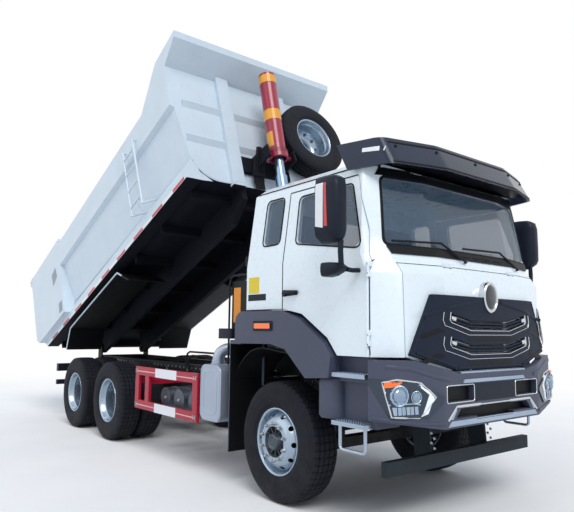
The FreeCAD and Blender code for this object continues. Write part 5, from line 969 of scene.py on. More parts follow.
@dataclass(frozen=True)
class Studio:
    """Camera at the photograph's angle, soft light, white surround and a pale floor."""

    spot: tuple[float, float, float] = (7.414, -4.457, 1.544)
    yaw: float = 141.0
    pitch: float = 6.7
    roll: float = 0.55
    sensor: float = 36.0
    width: int = 574
    height: int = 512
    focal: float = 579
    middle: tuple[float, float] = (292.3, 262.1)
    world: float = 0.56
    sun: float = 1.7
    reach: float = 60.0

    def camera(self) -> None:
        """Make the camera. The focal length and the middle of its view are in pixels of the photograph."""
        yaw, pitch, roll = (radians(a) for a in (self.yaw, self.pitch, self.roll))
        look = Vector((cos(pitch) * cos(yaw), cos(pitch) * sin(yaw), sin(pitch)))
        level = look.cross(Vector((0, 0, 1))).normalized()
        upright = level.cross(look)
        right = level * cos(roll) + upright * sin(roll)
        up = upright * cos(roll) - level * sin(roll)
        data = bpy.data.cameras.new("camera")
        data.sensor_fit, data.sensor_width, data.clip_end = "HORIZONTAL", self.sensor, 200
        data.lens = self.sensor * self.focal / self.width
        data.shift_x = 0.5 - self.middle[0] / self.width
        data.shift_y = (self.middle[1] - 0.5 * self.height) / self.width
        made = placed("camera", data)
        made.matrix_world = Matrix.Translation(self.spot) @ Matrix((right, up, -look)).transposed().to_4x4()
        bpy.context.scene.camera = made

    def surround(self) -> None:
        """Light the truck from all round, with plain white behind it and in its reflections."""
        world = bpy.data.worlds.new("surround")
        bpy.context.scene.world = world
        world.use_nodes = True
        world.node_tree.nodes.clear()
        sky = Wiring(world.node_tree)
        rays = sky.node("ShaderNodeLightPath").outputs
        seen = sky.math("MAXIMUM", rays["Is Camera Ray"], rays["Is Transmission Ray"])
        seen = sky.math("MAXIMUM", seen, rays["Is Glossy Ray"])
        soft, white = (sky.node("ShaderNodeBackground", {"Color": colour, "Strength": strength}).outputs[0]
                       for colour, strength in ((linear("e6eefa"), self.world), ((1, 1, 1, 1), 1.0)))
        both = sky.node("ShaderNodeMixShader", {0: seen, 1: soft, 2: white}).outputs[0]
        sky.node("ShaderNodeOutputWorld", {0: both})

    def lamp(self, name: str, strength: float, azimuth: float, height: float, spread: float) -> None:
        """Add a far soft lamp.

        Args:
            name: Its name.
            strength: Its strength.
            azimuth: Where it stands, in degrees from ahead towards the left.
            height: How high it stands, in degrees.
            spread: How wide it looks, in degrees.
        """
        data = bpy.data.lights.new(name, "SUN")
        data.energy, data.angle = strength, radians(spread)
        placed(name, data).rotation_euler = (0, radians(90 - height), radians(azimuth))

    def floor(self) -> None:
        """Lay a pale floor that keeps the truck's shadow and fades to white far off."""
        shader = Shader("pale_floor")
        tone = shader.mottled(1.2, linear("f4f5f6"), linear("fafafa"))
        shader.fill(shader.surface, {"Base Color": tone, "Roughness": 0.9})
        inputs = {"Vector": shader.place, "Scale": (1.0, 1.0, 0.0), "Location": (1.2, 0, 0)}
        flat = shader.node("ShaderNodeMapping", inputs).outputs[0]
        away = shader.node("ShaderNodeVectorMath", {0: flat}, operation="LENGTH").outputs["Value"]
        camera = shader.node("ShaderNodeLightPath").outputs["Is Camera Ray"]
        share = shader.math("MULTIPLY", shader.between(away, 5.5, 12.0), camera)
        white = shader.node("ShaderNodeEmission").outputs[0]
        both = shader.node("ShaderNodeMixShader", {0: share, 1: shader.surface.outputs[0], 2: white}).outputs[0]
        shader.fill(shader.tree.nodes["Material Output"], {0: both})
        slab = Shape().box((-self.reach, -self.reach, -0.06), (self.reach, self.reach, -0.002)).mesh("floor")
        slab.materials.append(shader.material)
        placed("floor", slab)

    def build(self) -> None:
        """Set the whole studio up."""
        self.camera()
        self.surround()
        self.lamp("key_lamp", self.sun, -25.0, 48.0, 30.0)
        self.lamp("fill_lamp", self.sun * 0.25, -110.0, 35.0, 60.0)
        self.floor()
        bpy.context.scene.view_settings.view_transform = "Standard"


# ---- nodes that keep their shape


class Carried:
    """CAD nodes that keep their shape and get their finish here."""

    FINISHES = {
        Paint.FRAME: "chassis_frame crossmembers hoist_base",
        Paint.AXLE: "front_axle rear_bogie knuckle_right knuckle_left driveline engine_block",
        Paint.INTERIOR: "cab_interior",
        Paint.BLACK: "wipers battery_box air_intake mudguards",
        Paint.WINDOW: "cab_glass door_glass_right door_glass_left",
        Paint.LAMP_BLACK: "front_lamps",
        Paint.PIPE: "cab_steps",
        Paint.TANK: "air_tanks",
        Paint.TRIM_DARK: "tail_bar",
        # The bed's underframe and the hoist bracket take the underside's painted shade.
        Paint.UNDER: "bed_underframe hoist_bracket",
        Paint.ROD: "hoist_stage_1 hoist_stage_2 hoist_rod",
        Paint.HOIST: "hoist_cover",
    }

    def dress(self) -> None:
        """Give each node its finish."""
        for finish, names in self.FINISHES.items():
            for name in names.split():
                materials = frame["nodes"][name].data.materials
                materials.clear()
                materials.append(finish.make())
                LOG.info("%s keeps its shape", name)


class Skins:
    """CAD nodes whose copies with rounded edges stand in their place."""

    NODES = (
        ("cab_shell", "cab_body", Paint.CAB, "chassis", "cab_paint", 0.008),
        ("door_right", "door_right_skin", Paint.CAB, "door_assembly_right", "cab_paint", 0.005),
        ("door_left", "door_left_skin", Paint.CAB, "door_assembly_left", "cab_paint", 0.005),
        ("front_lid", "front_lid_skin", Paint.CAB, "lid", "cab_paint", 0.005),
        ("grille", "grille_panel", Paint.GRILLE, "lid", "grille_plastic", 0.006),
        ("front_fenders", "fender_skins", Paint.TRIM, "chassis", "trim_plastic", 0.01),
        ("sun_visor", "visor_shell", Paint.VISOR, "chassis", "visor_plastic", 0.005),
        ("side_guards", "guard_frames", Paint.GUARD_RED, "chassis", "guard_paint", 0.006),
        ("silencer_box", "silencer_shell", Paint.ALUMINIUM, "chassis", "silencer_metal", 0.008),
        ("fuel_tank", "fuel_tank_shell", Paint.ALUMINIUM, "chassis", "tank_paint", 0.006),
        ("front_underrun", "underrun_bar", Paint.UNDERRUN, "chassis", "underrun_paint", 0.004),
        ("tailgate", "tailgate_shell", Paint.BED, "gate", "bed_paint", 0.006),
    )

    def dress(self) -> None:
        """Build the copies, the fenders' with dark flaps behind the wheels."""
        for node, name, finish, body, slot, bevel in self.NODES:
            piece(name, merged_copy(node), finish, body, (node,), bevel, 30.0)
        fenders = bpy.data.objects["fender_skins"].data
        fenders.materials.append(Paint.BLACK.make())
        for face in fenders.polygons:
            if abs(face.normal.x) > 0.8 and face.center.z < 1.25 and face.center.x < FRONT_AXLE - 0.35:
                face.material_index = 1


# ---- trim on the CAD's surfaces

BACKWARD = Vector((-1, 0, 0))


class Seen(NamedTuple):
    """Points near the truck's surface, with the way that they are pressed on."""

    points: list[Vector]
    way: Vector


def nose(places: Iterable[Point], x: float = 1.4, sign: int = 1, way: Vector = BACKWARD) -> Seen:
    """Return front-view places (to the left, up) near the truck's nose, or their mirror images."""
    return Seen([at(x, y * sign, z) for y, z in places], way)


def flank(places: Iterable[Point], side: Side, y: float = 1.2) -> Seen:
    """Return side-view places (ahead, up) near a flank."""
    return Seen([at(x, y * side.value, z) for x, z in places], Vector((0, -side.value, 0)))


def rounded(outline: Sequence[Point], radius: float, steps: int = 6) -> list[tuple[float, float]]:
    """Round an outline's corners.

    Args:
        outline: Corners in a plane.
        radius: Radius of the corners.
        steps: Points on each corner.

    Returns:
        The rounded outline.
    """
    result = []
    for i, corner in enumerate(outline):
        here, after = Vector(corner), Vector(outline[(i + 1) % len(outline)])
        back, ahead = Vector(outline[i - 1]) - here, after - here
        reach = min(radius / tan(back.angle(ahead) / 2), back.length * 0.48, ahead.length * 0.48)
        start, end = here + back.normalized() * reach, here + ahead.normalized() * reach
        for k in range(steps + 1):
            t = k / steps
            result.append(tuple(start * (1 - t) ** 2 + here * (2 * t * (1 - t)) + end * t ** 2))
    return result


class Skin:
    """The outer faces of some CAD nodes or of a shape, for trim to be seated on."""

    def __init__(self, *nodes: str, over: Shape | None = None) -> None:
        """Read the faces.

        Args:
            nodes: The nodes' names.
            over: The shape, where it isn't nodes.
        """
        made = over or Shape()
        for node in nodes:
            mesh = frame["nodes"][node].data
            made.add([v.co for v in mesh.vertices], [p.vertices for p in mesh.polygons])
        self.tree = BVHTree.FromPolygons(made.points, made.faces)

    def hit(self, spot: Vector, way: Vector) -> tuple[Vector, Vector]:
        """Find the first surface point along a way.

        Args:
            spot: A point near the surface.
            way: The direction of sight.

        Returns:
            The point and its outward direction. The spot itself where nothing is met.
        """
        found, normal, _, _ = self.tree.ray_cast(spot - way * 4, way)
        if found is None:
            return spot, -way
        return found, (normal if normal.dot(way) < 0 else -normal)

    def line(self, seen: Seen, closed: bool, step: float) -> list[tuple[Vector, Vector]]:
        """Lay a line on the surface.

        Args:
            seen: Its corners.
            closed: Whether it ends where it starts.
            step: Longest way between its points.

        Returns:
            Points with their outward directions.
        """
        path = seen.points + (seen.points[:1] if closed else [])
        spots = []
        for a, b in zip(path, path[1:]):
            parts = max(1, ceil((b - a).length / step))
            spots += [a.lerp(b, k / parts) for k in range(parts)]
        if not closed:
            spots.append(path[-1])
        return [self.hit(spot, seen.way) for spot in spots]

    def strip(self, seen: Seen, width: float, height: float, closed: bool = False, step: float = 0.04,
              sink: float = 0.002) -> Shape:
        """Lay a moulding on the surface.

        Args:
            seen: Its line's corners.
            width: Its width.
            height: How far it stands out.
            closed: Whether it ends where it starts.
            step: Longest way between its points.
            sink: How deep its foot goes.

        Returns:
            The moulding.
        """
        line = self.line(seen, closed, step)
        section = ((-0.5, -sink), (-0.5, height * 0.55), (-0.28, height), (0.28, height), (0.5, height * 0.55),
                   (0.5, -sink))
        rings = []
        for i, (point, normal) in enumerate(line):
            before = line[i - 1][0] if closed or i else point
            after = line[(i + 1) % len(line)][0] if closed or i < len(line) - 1 else point
            aside = normal.cross((after - before).normalized()).normalized()
            rings.append([point + aside * (width * a) + normal * b for a, b in section])
        return Shape().loft(rings, endless=closed)

    def patch(self, seen: Seen, stand: float, columns: int, rows: int, sink: float = 0.003) -> Shape:
        """Lay a four-cornered plate on the surface.

        Args:
            seen: Its corners in order.
            stand: How far it stands out.
            columns: Faces along its first edge.
            rows: Faces along its second edge.
            sink: How deep its back goes.

        Returns:
            The plate.
        """
        a, b, c, d = seen.points
        hits = [self.hit(a.lerp(b, i / columns).lerp(d.lerp(c, i / columns), j / rows), seen.way)
                for j in range(rows + 1) for i in range(columns + 1)]
        size, wide = len(hits), columns + 1
        faces = []
        for k in (j * wide + i for j in range(rows) for i in range(columns)):
            faces += [(k, k + 1, k + 1 + wide, k + wide),
                      (size + k + wide, size + k + 1 + wide, size + k + 1, size + k)]
        rim = [*range(wide), *(j * wide + columns for j in range(1, rows + 1)),
               *(rows * wide + i for i in range(columns - 1, -1, -1)), *(j * wide for j in range(rows - 1, 0, -1))]
        faces += [(k, k + size, after + size, after) for k, after in zip(rim, rim[1:] + rim[:1])]
        return Shape().add([p + n * stand for p, n in hits] + [p - n * sink for p, n in hits], faces)


@dataclass(frozen=True)
class CabTrim:
    """Seals, painted shade under the visor, cowl, gutters, blank labels and handles on the cab."""

    seal: float = 0.014
    stand: float = 0.006
    corner: float = 0.06
    quarter: tuple = (*oblong(-0.225, 0.035, 2.35, 2.79),)
    door_window: tuple = ((0.285, 2.325), (0.272, 2.752), (0.945, 2.752), (1.112, 2.2))
    windscreen: tuple = (*keystone(1.04, 0.985, 2.225, 2.8),)
    rear_window: tuple = (*keystone(0.62, 0.62, 2.33, 2.76),)
    gutter: tuple = ((-0.44, 2.9), (0.12, 2.9), (0.9, 2.9))
    openings: tuple = (((0.121, 1.36), (0.121, 2.824), (1.0, 2.824)), ((1.195, 2.1), (1.195, 1.36)))
    well: tuple = ((0.15, 1.845), (0.34, 1.855), (0.34, 1.895), (0.15, 1.905))
    grip: tuple = ((0.165, 1.206, 1.874), (0.175, 1.228, 1.874), (0.21, 1.236, 1.876), (0.29, 1.237, 1.877),
                   (0.335, 1.228, 1.876), (0.345, 1.206, 1.875))
    labels: tuple = (("blank_label_yellow", Paint.LABEL, (-0.414, -0.24, 1.893, 2.05)),
                     ("blank_label_dark", Paint.TRIM_DARK, (-0.42, -0.13, 1.822, 1.884)))

    def edge(self, outline: Sequence[Point], growth: float = 0.008) -> list[tuple[float, float]]:
        """Move a window's corners out from its middle, and round them.

        Args:
            outline: The window's corners.
            growth: How far they move, across and up.

        Returns:
            The line of its seal.
        """
        mid = sum((Vector(p) for p in outline), Vector((0, 0))) / len(outline)
        return rounded([(p[0] + copysign(growth, p[0] - mid.x), p[1] + copysign(growth, p[1] - mid.y))
                        for p in outline], self.corner)

    def dress(self) -> None:
        """Build the cab's trim."""
        shell = Skin("cab_shell")
        seals = shell.strip(nose(self.edge(self.windscreen, 0.006)), 0.022, self.stand, True)
        seals.joined(shell.strip(nose(self.edge(self.rear_window), -0.45, 1, -BACKWARD), self.seal, self.stand, True))
        for side in Side:
            seals.joined(shell.strip(flank(self.edge(self.quarter), side), self.seal, self.stand, True),
                         shell.strip(flank(self.gutter, side), 0.012, 0.008))
            self.door(side)
            seams = Shape().joined(*(shell.strip(flank(edge, side), 0.007, 0.0015) for edge in self.openings))
            piece("door_opening_seal_" + side.tag, seams, Paint.SEAL, "chassis")
        piece("window_seals", seals, Paint.SEAL, "chassis")
        # The header under the visor and the roof's front edge get near-black patches: painted shade cast by the visor.
        header_shade = shell.patch(nose(keystone(1.03, 0.99, 2.815, 2.885)), 0.006, 40, 3)
        top = [at(1.17, -1.0, 2.9), at(1.17, 1.0, 2.9), at(0.93, 0.96, 3.0), at(0.93, -0.96, 3.0)]
        header_shade.joined(shell.patch(Seen(top, Vector((-0.45, 0, -0.89))), 0.004, 30, 5))
        piece("windscreen_brow", header_shade, Paint.VISOR_LIT, "chassis")
        cowl = shell.patch(nose(keystone(1.0, 1.03, 2.152, 2.214)), 0.012, 40, 3)
        slats = grid(Shape().box((0, -0.055, 0), (0.004, 0.055, 0.004)), (0, 0.16, 0), Paint.BLACK, 5)
        piece("windscreen_cowl", cowl.joined(slats.shifted(at(1.372, -0.32, 2.18))), Paint.BLACK, "chassis")
        for name, finish, limits in self.labels:
            piece(name, shell.patch(flank(oblong(*limits), Side.RIGHT), 0.0015, 2, 2), finish, "chassis")

    def door(self, side: Side) -> None:
        """Build a door's window seal, and its handle with its lock and the well behind it.

        Args:
            side: The side.
        """
        door, y, body = Skin("door_" + side.tag), side.value, "door_assembly_" + side.tag
        seal = door.strip(flank(self.edge(self.door_window), side), self.seal, self.stand, True)
        piece("door_window_seal_" + side.tag, seal, Paint.SEAL, body)
        handle = door.patch(flank(self.well, side), 0.002, 4, 3)
        handle.tube([at(a, y * b, c) for a, b, c in self.grip], 0.018, 14, 0.75)
        handle.tube([at(0.157, y * 1.198, 1.874), at(0.157, y * 1.214, 1.874)], 0.03, 20)
        piece("door_handle_" + side.tag, handle, Paint.BLACK, body, bevel=0.002)


@dataclass(frozen=True)
class Interior:
    """Padded seats seen through the glass: each pad's place, half size and whether it leans."""

    seat_y: float = 0.56
    crown: float = 0.008
    lean: float = 0.12 / 0.56
    pads: tuple = (("seat_pad_", (0.215, 2.03), (0.255, 0.25, 0.04), 0),
                   ("seat_back_pad_", (0.0, 2.31), (0.04, 0.25, 0.25), 1),
                   ("head_pad_", (-0.11, 2.605), (0.045, 0.1375, 0.06), 1))

    def cushion(self, size: Point) -> Shape:
        """Build a pad about the origin, its two broad faces crowned.

        Args:
            size: Half its length along each axis.

        Returns:
            The pad.
        """
        thin = min(range(3), key=lambda i: size[i])
        first, second = (i for i in range(3) if i != thin)
        rings = []
        for j in range(11):
            level = -cos(pi * j / 10)
            share = max((1 - abs(level) ** 5) ** 0.25, 0.55)
            points = []
            for t in turns(28):
                c, s = cos(t), sin(t)
                spot = [(size[thin] + self.crown) * level] * 3
                spot[first] = size[first] * copysign(abs(c) ** 0.35, c) * share
                spot[second] = size[second] * copysign(abs(s) ** 0.35, s) * share
                points.append(spot)
            rings.append(points)
        return Shape().loft(rings)

    def dress(self) -> None:
        """Build the seats' pads over the CAD's seats."""
        for side in Side:
            for name, (x, z), size, leans in self.pads:
                turn = Matrix.Rotation(-atan(self.lean) * leans, 4, "Y")
                shape = self.cushion(size).moved(turn).shifted(at(x, self.seat_y * side.value, z))
                made = piece(name + side.tag, shape, Paint.SEAT, "chassis", angle=60)


@dataclass(frozen=True)
class GrilleTrim:
    """Bright outlines, mesh and creases on the grille, with a plain oval boss."""

    slots: tuple[float, float] = (1.56, 1.365)
    half: float = 0.56
    cheek: tuple = ((0.5, 0.05), (0.56, 0.062), (0.55, 0.13), (0.49, 0.118))
    fin: tuple = ((0.62, -0.012), (0.7, 0.012), (0.9, -0.05), (0.86, -0.075))
    pocket: tuple = ((0.86, 1.77), (0.885, 1.745), (0.955, 1.47), (0.945, 1.42), (0.9, 1.5), (0.86, 1.66))
    pocket_floor: tuple = ((0.867, 1.74), (0.88, 1.735), (0.94, 1.46), (0.9, 1.54))
    creases: tuple = ((((0.17, 1.8), (0.55, 1.74), (0.86, 1.66)), 1.47, 0.03, 0.006),
                      (((0.73, 1.82), (0.8, 1.7), (0.955, 1.4)), 1.44, 0.012, 0.005),
                      (((0.5, 1.262), (0.93, 1.38)), 1.44, 0.02, 0.006))
    boss: tuple = ((0, 1), (0.044, 1), (0.058, 0.99), (0.064, 0.94), (0.064, 0.86), (0.058, 0.82), (0.058, 0.001))
    dome: tuple = ((0.05, 0.84), (0.06, 0.78), (0.068, 0.6), (0.072, 0.35), (0.073, 0.001))

    def slot_line(self, base: float, out: float, drop: float) -> Seen:
        """Draw the U-shaped line round a slot.

        Args:
            base: The slot's lower edge.
            out: How far beyond its ends the line runs.
            drop: How far below its edge the line runs.

        Returns:
            The line's corners.
        """
        h = self.half + out
        half = [(0.28 + drop, base - drop), (h - 0.02, base + 0.06 - drop * 0.7), (h, base + 0.075),
                (h - 0.012, base + 0.138)]
        return nose([(-y, z) for y, z in reversed(half)] + half, 1.47)

    def oval(self, profile: Sequence[Point]) -> Shape:
        """Return an oval form on the grille's top edge, from its depths and its shares of the size there."""
        return Shape().loft([[at(1.4385 + depth, 0.105 * share * cos(t), 1.84 + 0.135 * share * sin(t))
                              for t in turns(40)] for depth, share in profile])

    def dress(self) -> None:
        """Build the grille's trim."""
        panel = Skin("grille")
        bright, backing, dark, creases = Shape(), Shape(), Shape(), Shape()
        cell = Shape().box((-0.002, -0.007, -0.0012), (0.002, 0.007, 0.0012))
        cell.box((-0.002, -0.0012, -0.007), (0.002, 0.0012, 0.007))
        mesh = grid(cell, (0, 0.014, 0), Paint.BLACK, 37 * 5, 37, (0, 0, 0.014))
        for base in self.slots:
            bright.joined(panel.strip(self.slot_line(base, 0.085, 0.042), 0.0065, 0.005),
                          panel.strip(self.slot_line(base, 0.01, 0.007), 0.008, 0.006, step=0.03))
            dark.joined(panel.patch(nose(keystone(0.3, 0.34, base - 0.092, base - 0.062), 1.47), 0.002, 10, 2))
            for sign in (-1, 1):
                cheek, fin = (nose([(y, base + z) for y, z in part], 1.45, sign) for part in (self.cheek, self.fin))
                bright.joined(panel.patch(cheek, 0.008, 3, 3))
                dark.joined(panel.patch(fin, 0.002, 4, 2))
            backing.joined(mesh.shifted(at(1.4435, -0.252, base + 0.01)))
        bright.joined(panel.strip(nose(self.pocket, 1.44), 0.008, 0.006, True))
        dark.joined(panel.patch(nose(self.pocket_floor, 1.44), 0.002, 2, 5))
        for sign in (-1, 1):
            for line, x, width, height in self.creases:
                creases.joined(panel.strip(nose(line, x, sign), width, height))
        creases.joined(panel.strip(nose([(-0.47, 1.255), (0.47, 1.255)], 1.47), 0.018, 0.006))
        for name, shape, finish in (
                ("grille_bright_outlines", bright, Paint.CHROME), ("grille_mesh", backing.joined(dark), Paint.BLACK),
                ("grille_creases", creases, Paint.GRILLE), ("grille_boss", self.oval(self.boss), Paint.CHROME),
                ("grille_boss_dome", self.oval(self.dome), Paint.BOSS)):
            piece(name, shape, finish, "lid")


@dataclass(frozen=True)
class Headlamps:
    """Lamp units behind a bright bezel, with amber upper corners and white bars, and the fender markers."""

    outline: tuple = ((1.205, 1.168), (1.168, 0.918), (0.93, 0.9), (0.79, 1.05), (0.91, 1.158), (1.12, 1.186))
    divider: tuple = ((1.18, 1.005), (1.0, 1.01), (0.93, 1.0))
    big: tuple[float, float] = (1.112, 1.07)
    small: tuple[float, float] = (0.968, 1.055)
    big_bowl: tuple = ((0.078, -0.004), (0.078, 0.012), (0.072, 0.015), (0.066, 0.012), (0.062, 0.004), (0.058, 0.003))
    small_bowl: tuple = ((0.048, -0.004), (0.048, 0.009), (0.044, 0.011), (0.04, 0.008), (0.037, 0.003))
    big_lens: tuple = ((0.056, 0.004), (0.052, 0.014), (0.04, 0.022), (0.022, 0.027), (0.001, 0.028))
    small_lens: tuple = ((0.035, 0.004), (0.032, 0.01), (0.022, 0.015), (0.001, 0.017))
    amber: tuple = ((1.2, 1.125), (1.12, 1.142), (1.075, 1.176), (1.195, 1.172))
    low_bar: tuple = ((0.915, 0.915), (0.865, 0.93), (0.808, 1.055), (0.85, 1.07))
    high_bar: tuple = ((0.85, 1.07), (0.815, 1.06), (0.915, 1.148), (0.955, 1.144))
    shelf: tuple = ((1.165, 0.988), (1.135, 0.989), (1.131, 0.932), (1.159, 0.93))
    marker: tuple = ((-0.243, 1.556), (0.007, 1.556), (0.0, 1.604), (-0.24, 1.604))

    def turned(self, skin: Skin, middle: Point, side: Side, profile: Sequence[Point]) -> Shape:
        """Build a turned form on the lamp's face.

        Args:
            skin: The lamp's face.
            middle: Its place in front view, on the left side.
            side: The side.
            profile: Its radii, each with how far it stands out.

        Returns:
            The form.
        """
        point, normal = skin.hit(at(1.42, middle[0] * side.value, middle[1]), BACKWARD)
        across = normal.cross(Vector((0, 0, 1))).normalized()
        up = across.cross(normal)
        return Shape().loft([[point + normal * stand + (across * cos(t) + up * sin(t)) * radius
                              for t in turns(36)] for radius, stand in profile])

    def dress(self) -> None:
        """Build both lamps' insides and trims, and the markers."""
        skin, fender = Skin("front_lamps", "bumper"), Skin("front_fenders")
        bezel, bright, dark, amber, bars, markers, surround = (Shape() for _ in range(7))
        for side in Side:
            outline, divider, corner, low_bar, high_bar = (nose(line, 1.42, side.value) for line in (
                self.outline, self.divider, self.amber, self.low_bar, self.high_bar))
            bezel.joined(skin.strip(outline, 0.013, 0.006, True, 0.03), skin.strip(divider, 0.008, 0.004))
            bright.joined(self.turned(skin, self.big, side, self.big_bowl),
                          self.turned(skin, self.small, side, self.small_bowl))
            dark.joined(self.turned(skin, self.big, side, self.big_lens),
                        self.turned(skin, self.small, side, self.small_lens))
            for k in range(6):
                shelf = nose([(y - 0.036 * k, z) for y, z in self.shelf], 1.42, side.value)
                bright.joined(skin.patch(shelf, 0.004 + 0.003 * (k % 2), 2, 3))
            amber.joined(skin.patch(corner, 0.005, 5, 3))
            bars.joined(skin.patch(low_bar, 0.006, 3, 6), skin.patch(high_bar, 0.006, 3, 4))
            markers.prism([(x + FRONT_AXLE, z) for x, z in rounded(self.marker, 0.012, 4)], Axis.Y,
                          1.246 * side.value, 1.2565 * side.value)
            surround.joined(fender.strip(flank(oblong(-0.262, 0.026, 1.54, 1.62), side, 1.24), 0.014, 0.008, True))
        for name, shape, finish in (
                ("lamp_bezels", bezel, Paint.CHROME), ("lamp_reflectors", bright, Paint.REFLECTOR),
                ("lamp_projectors", dark, Paint.PROJECTOR), ("lamp_amber_corners", amber, Paint.AMBER),
                ("lamp_light_bars", bars, Paint.LIGHT_BAR)):
            piece(name, shape, finish, "chassis")
        piece("fender_markers", markers, Paint.AMBER, "chassis", bevel=0.002)
        piece("marker_surrounds", surround, Paint.TRIM_DARK, "chassis")


@dataclass(frozen=True)
class BumperTrim:
    """The bumper with its lower opening, bright frames, treads and lip."""

    opening: tuple = (*keystone(0.56, 0.49, 0.872, 0.945),)
    behind: tuple = (*keystone(0.588, 0.55, 0.806, 0.96),)
    arch: tuple = ((-0.66, 0.86), (-0.545, 0.962), (0.545, 0.962), (0.66, 0.86))
    low_lip: tuple = ((0.7, 0.842), (0.95, 0.862), (1.15, 0.89), (1.235, 0.905))
    high_lip: tuple = ((0.62, 1.17), (0.78, 1.2), (1.0, 1.265), (1.18, 1.28))
    tread_end: tuple = ((0.6, 0.868), (0.655, 0.868), (0.575, 0.94), (0.545, 0.94))

    def dress(self) -> None:
        """Build the bumper and its trim."""
        tool = Shape().prism(self.opening, Axis.X, FRONT_AXLE + 1.36, FRONT_AXLE + 1.6)
        shell = cut(from_mesh(merged_copy("bumper")), tool)
        piece("bumper_skin", shell, Paint.TRIM, "chassis", ("bumper",), 0.008, 30.0)
        skin = Skin("bumper")
        dark = Shape().prism(self.behind, Axis.X, FRONT_AXLE + 1.43, FRONT_AXLE + 1.445)
        bright = skin.strip(nose(self.arch, 1.5), 0.018, 0.006)
        treads, lip = Shape(), Shape()
        for y in (-1, 1):
            window = rounded(oblong(0.308, 0.67, 0.994, 1.126), 0.02, 3)
            bright.joined(skin.strip(nose(window, 1.5, y), 0.009, 0.005, True))
            dark.prism(oblong(y * 0.31, y * 0.668, 0.996, 1.124), Axis.X, FRONT_AXLE + 1.452, FRONT_AXLE + 1.462)
            lip.joined(skin.strip(nose(self.low_lip, 1.4, y), 0.022, 0.008),
                       skin.strip(nose(self.high_lip, 1.45, y), 0.03, 0.007))
            treads.joined(skin.patch(nose(self.tread_end, 1.5, y), 0.004, 2, 3))
        treads.joined(skin.patch(nose(keystone(0.46, 0.44, 1.14, 1.168), 1.5), 0.008, 20, 2),
                      skin.patch(nose(keystone(0.66, 0.62, 0.815, 0.856), 1.5), 0.006, 20, 2))
        bump = Shape().tube([(0, 0, 0), (0, 0, 0.003)], 0.006, 8)
        rows = grid(bump, (0, 0.024, 0), Paint.TREAD, 40 * 3, 40, (0.026, 0, 0))
        treads.joined(rows.shifted(at(1.44, -0.468, 1.2265)))
        base = skin.patch(nose(oblong(-0.3, 0.3, 0.988, 1.13), 1.5), 0.004, 12, 4)
        for name, shape, finish in (("bumper_bright_frames", bright, Paint.CHROME),
                                    ("bumper_dark_backs", dark, Paint.BLACK), ("bumper_lip", lip, Paint.TRIM),
                                    ("bumper_plate_base", base, Paint.TRIM_DARK)):
            piece(name, shape, finish, "chassis")
        piece("bumper_treads", treads, Paint.TREAD, "chassis")


@dataclass(frozen=True)
class StepTrim:
    """Studded tops and bright edges of the cab's steps."""

    levels: tuple[float, float] = (1.21, 0.834)

    def dress(self) -> None:
        """Build the treads' tops on the steps that a ray from just above each finds."""
        made, steps = Shape(), Skin("cab_steps")
        stud = Shape().tube([(0, 0, 0), (0, 0, 0.004)], 0.006, 8)
        studs = grid(stud, (0.026, 0, 0), Paint.TREAD, 12 * 4, 12, (0, 0.026, 0))
        for y in (-1, 1):
            for level in self.levels:
                top = steps.tree.ray_cast(at(0.985, y * 1.1525, level + 0.1), Vector((0, 0, -1)))[0].z
                made.joined(studs.shifted(at(0.84, y * 1.152 - 0.039, top - 0.0005)))
                made.box(at(0.8, y * 1.214, top - 0.03), at(1.16, y * 1.2165, top - 0.002))
        piece("step_tread_studs", made, Paint.TREAD, "chassis")


